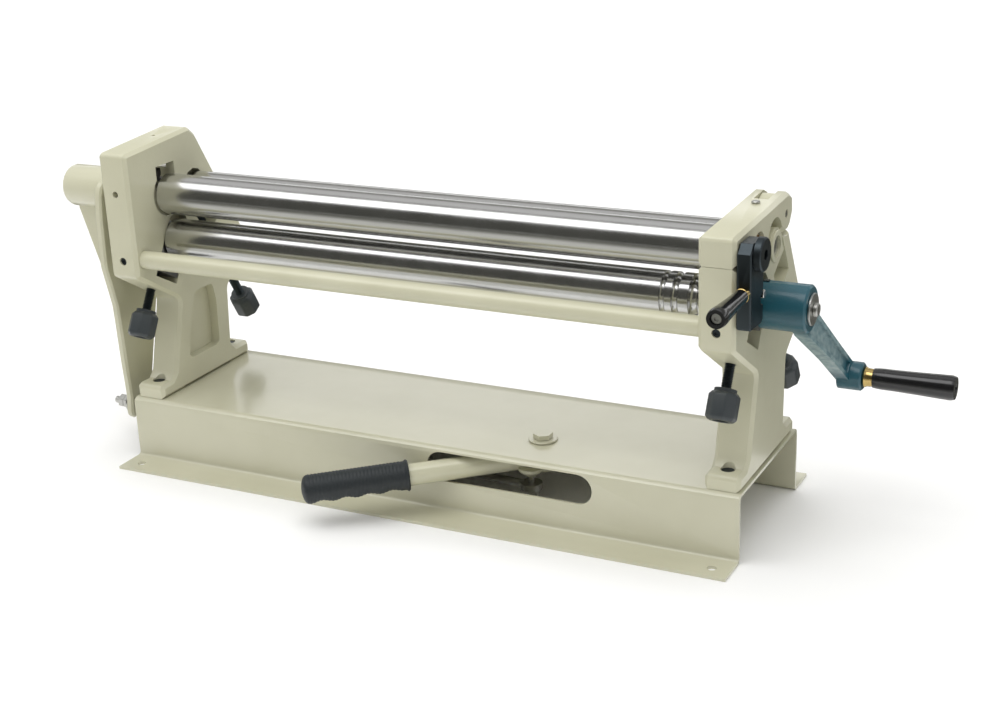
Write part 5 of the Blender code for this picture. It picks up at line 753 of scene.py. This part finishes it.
def threaded(name, node_name, start, axis, length):
    """Radius(s, t) = crest - depth * triangle wave of s / pitch - t / turn."""
    along, across, upward = cross_axes(axis)
    rows = int(length / SCREW_PITCH * ROWS_PER_PITCH)
    distance = np.linspace(0, length, rows)[:, None]
    angle = np.linspace(0, 2 * np.pi, SCREW_STEPS, endpoint=False)[None, :]
    phase = (distance / SCREW_PITCH - angle / (2 * np.pi)) % 1.0
    wave = np.clip(np.abs(phase * 2 - 1) * 1.5 - 0.25, 0, 1)
    ends = np.clip(np.minimum(distance, length - distance) / SCREW_PITCH, 0, 1)
    radius = SCREW_RADIUS - THREAD_DEPTH * (1 - wave * ends)
    rim = np.cos(angle)[..., None] * across + np.sin(angle)[..., None] * upward
    grid = np.array(start) + distance[..., None] * along + radius[..., None] * rim
    piece = surface(name, grid)
    finish_piece(piece, body_of_node[node_name], slot_of_node[node_name])
    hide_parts(node_name)


# Distance along the knob, its radius, and how far it is eight-sided there: 0 round, 1 flat-sided.
KNOB_SECTIONS = np.array([
    (0.0, 0.0053, 0), (0.0, 0.0098, 0), (0.0005, 0.0105, 0), (0.0030, 0.0105, 0),
    (0.0034, 0.0112, 1), (0.0062, 0.0136, 1), (0.0072, 0.01386, 1), (0.0262, 0.01386, 1),
    (0.0272, 0.0136, 1), (0.0296, 0.0116, 1), (0.0300, 0.0108, 1), (0.0300, 0.0080, 0),
    (0.0297, 0.0075, 0), (0.0280, 0.0073, 0), (0.0280, 0.0053, 0), (0.0202, 0.0053, 0)])
KNOB_SIDES = 8
KNOB_SHARPNESS = 34
KNOB_STEPS = 160


def knob(name, node_name, start, axis):
    """Radius(s, t) = profile(s) / (sum of |cos(t - side)| ** p) ** (1 / p) over eight sides."""
    along, across, upward = cross_axes(axis)
    angle = np.linspace(0, 2 * np.pi, KNOB_STEPS, endpoint=False)
    side_step = 2 * np.pi / KNOB_SIDES
    sides = np.arange(KNOB_SIDES) * side_step + side_step
    reach = np.cos(angle[:, None] - sides[None, :])
    eight = (np.clip(reach, 0, None) ** KNOB_SHARPNESS).sum(axis=1) ** (-1 / KNOB_SHARPNESS)
    shape = 1 + (eight[None, :] - 1) * KNOB_SECTIONS[:, 2:3]
    radius = KNOB_SECTIONS[:, 1:2] * shape
    rim = np.cos(angle)[:, None] * across + np.sin(angle)[:, None] * upward
    grid = (np.array(start) + KNOB_SECTIONS[:, 0, None, None] * along
            + radius[..., None] * rim[None])
    piece = surface(name, grid, loop_along=True)
    finish_piece(piece, body_of_node[node_name], slot_of_node[node_name])
    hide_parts(node_name)


# End, side, sign of X, roll's axis, slot's direction, and where the screw's tip, the screw's end
# and the knob lie below the axis.
ADJUSTERS = [("front", "left", -1, LOWER_AXIS, FRONT_UP, 0.0343, 0.1015, 0.0815),
             ("front", "right", 1, LOWER_AXIS, FRONT_UP, 0.0163, 0.1015, 0.0815),
             ("rear", "left", -1, REAR_AXIS, REAR_UP, 0.0163, 0.1850, 0.1650),
             ("rear", "right", 1, REAR_AXIS, REAR_UP, 0.0163, 0.1850, 0.1650)]
SCREW_X = 0.3255
for end, side, sign, axis_point, upward, tip, screw_end, knob_start in ADJUSTERS:
    origin = np.array([sign * SCREW_X, axis_point[1], axis_point[2]])
    threaded(f"{end}_screw_{side}_thread", f"{end}_screw_{side}", origin - upward * tip, -upward,
             screw_end - tip)
    knob(f"{end}_knob_{side}_moulded", f"{end}_knob_{side}", origin - upward * knob_start,
         -upward)
print("adjusters:", len(ADJUSTERS))

# %% [markdown]
# ## Lever grip
#
# The grip is dipped soft vinyl: fine rings all round it, and four finger hollows on its lower
# side only. The hollows fade out towards the top with the cosine of the angle round the grip.
# The link pin, which the lever carries below its pivot, is turned like the other pins.

# %% Lever grip
LEVER_ANGLE = math.radians(215)
LEVER_DROP = math.radians(3)
LEVER_START = np.array([LEVER_PIVOT[0], LEVER_PIVOT[1], 0.0520])
GRIP_FROM = 0.1360
GRIP_TO = 0.2430
GRIP_RADIUS = 0.0148
RING_PITCH = 0.0036
RING_DEPTH = 0.0004
FINGER_DEPTH = 0.0022


def lever_grip():
    """Radius(s, t) = barrel(s) - rings(s) - fingers(s) * downward share of the direction t."""
    along = np.array([math.cos(LEVER_ANGLE) * math.cos(LEVER_DROP),
                      math.sin(LEVER_ANGLE) * math.cos(LEVER_DROP), -math.sin(LEVER_DROP)])
    side = np.cross(along, [0, 0, 1])
    side = side / np.linalg.norm(side)
    down = np.cross(along, side)
    down = down if down[2] < 0 else -down
    length = GRIP_TO - GRIP_FROM
    distance = np.linspace(0, length, 300)
    angle = np.linspace(0, 2 * np.pi, 96, endpoint=False)
    share = distance / length
    barrel = GRIP_RADIUS * np.clip(1 - (np.clip(share - 0.94, 0, 1) / 0.0605) ** 2, 0.02, 1) ** 0.5
    collar = 0.0016 * np.exp(-((share - 0.018) / 0.014) ** 2)
    ringed = (share > 0.06) & (share < 0.93)
    rings = np.where(ringed, RING_DEPTH * (0.5 + 0.5 * np.cos(2 * np.pi * distance / RING_PITCH)),
                     RING_DEPTH)
    fingers = FINGER_DEPTH * (0.5 - 0.5 * np.cos(2 * np.pi * 4 * (share - 0.06) / 0.87))
    fingers = np.where(ringed, fingers, 0)
    lowness = np.clip(np.cos(angle), 0, 1) ** 0.8
    radius = (barrel + collar - rings)[:, None] - fingers[:, None] * lowness[None, :]
    radius = np.maximum(radius, 0.0004)
    rim = np.cos(angle)[:, None] * down + np.sin(angle)[:, None] * side
    grid = (LEVER_START + (GRIP_FROM + distance)[:, None, None] * along
            + radius[..., None] * rim[None])
    first = grid[:1] * 0 + (LEVER_START + GRIP_FROM * along)[None, None] + 0.0113 * rim[None]
    piece = surface("lever_grip_vinyl", np.concatenate([first, grid]))
    finish_piece(piece, "release_lever", "black_rubber")
    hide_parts("lever_grip")


lever_grip()
LINK_PIN_REACH = 0.018
LINK_PIN_ANGLE = math.radians(-110)
link_pin_place = (LEVER_PIVOT[0] + LINK_PIN_REACH * math.cos(LINK_PIN_ANGLE),
                  LEVER_PIVOT[1] + LINK_PIN_REACH * math.sin(LINK_PIN_ANGLE), 0)
turned("link_pin_turned", "link_pin", bar_profile(0.015, 0.048, 0.0031, 0.0005), link_pin_place,
       ALONG_Z, 64)
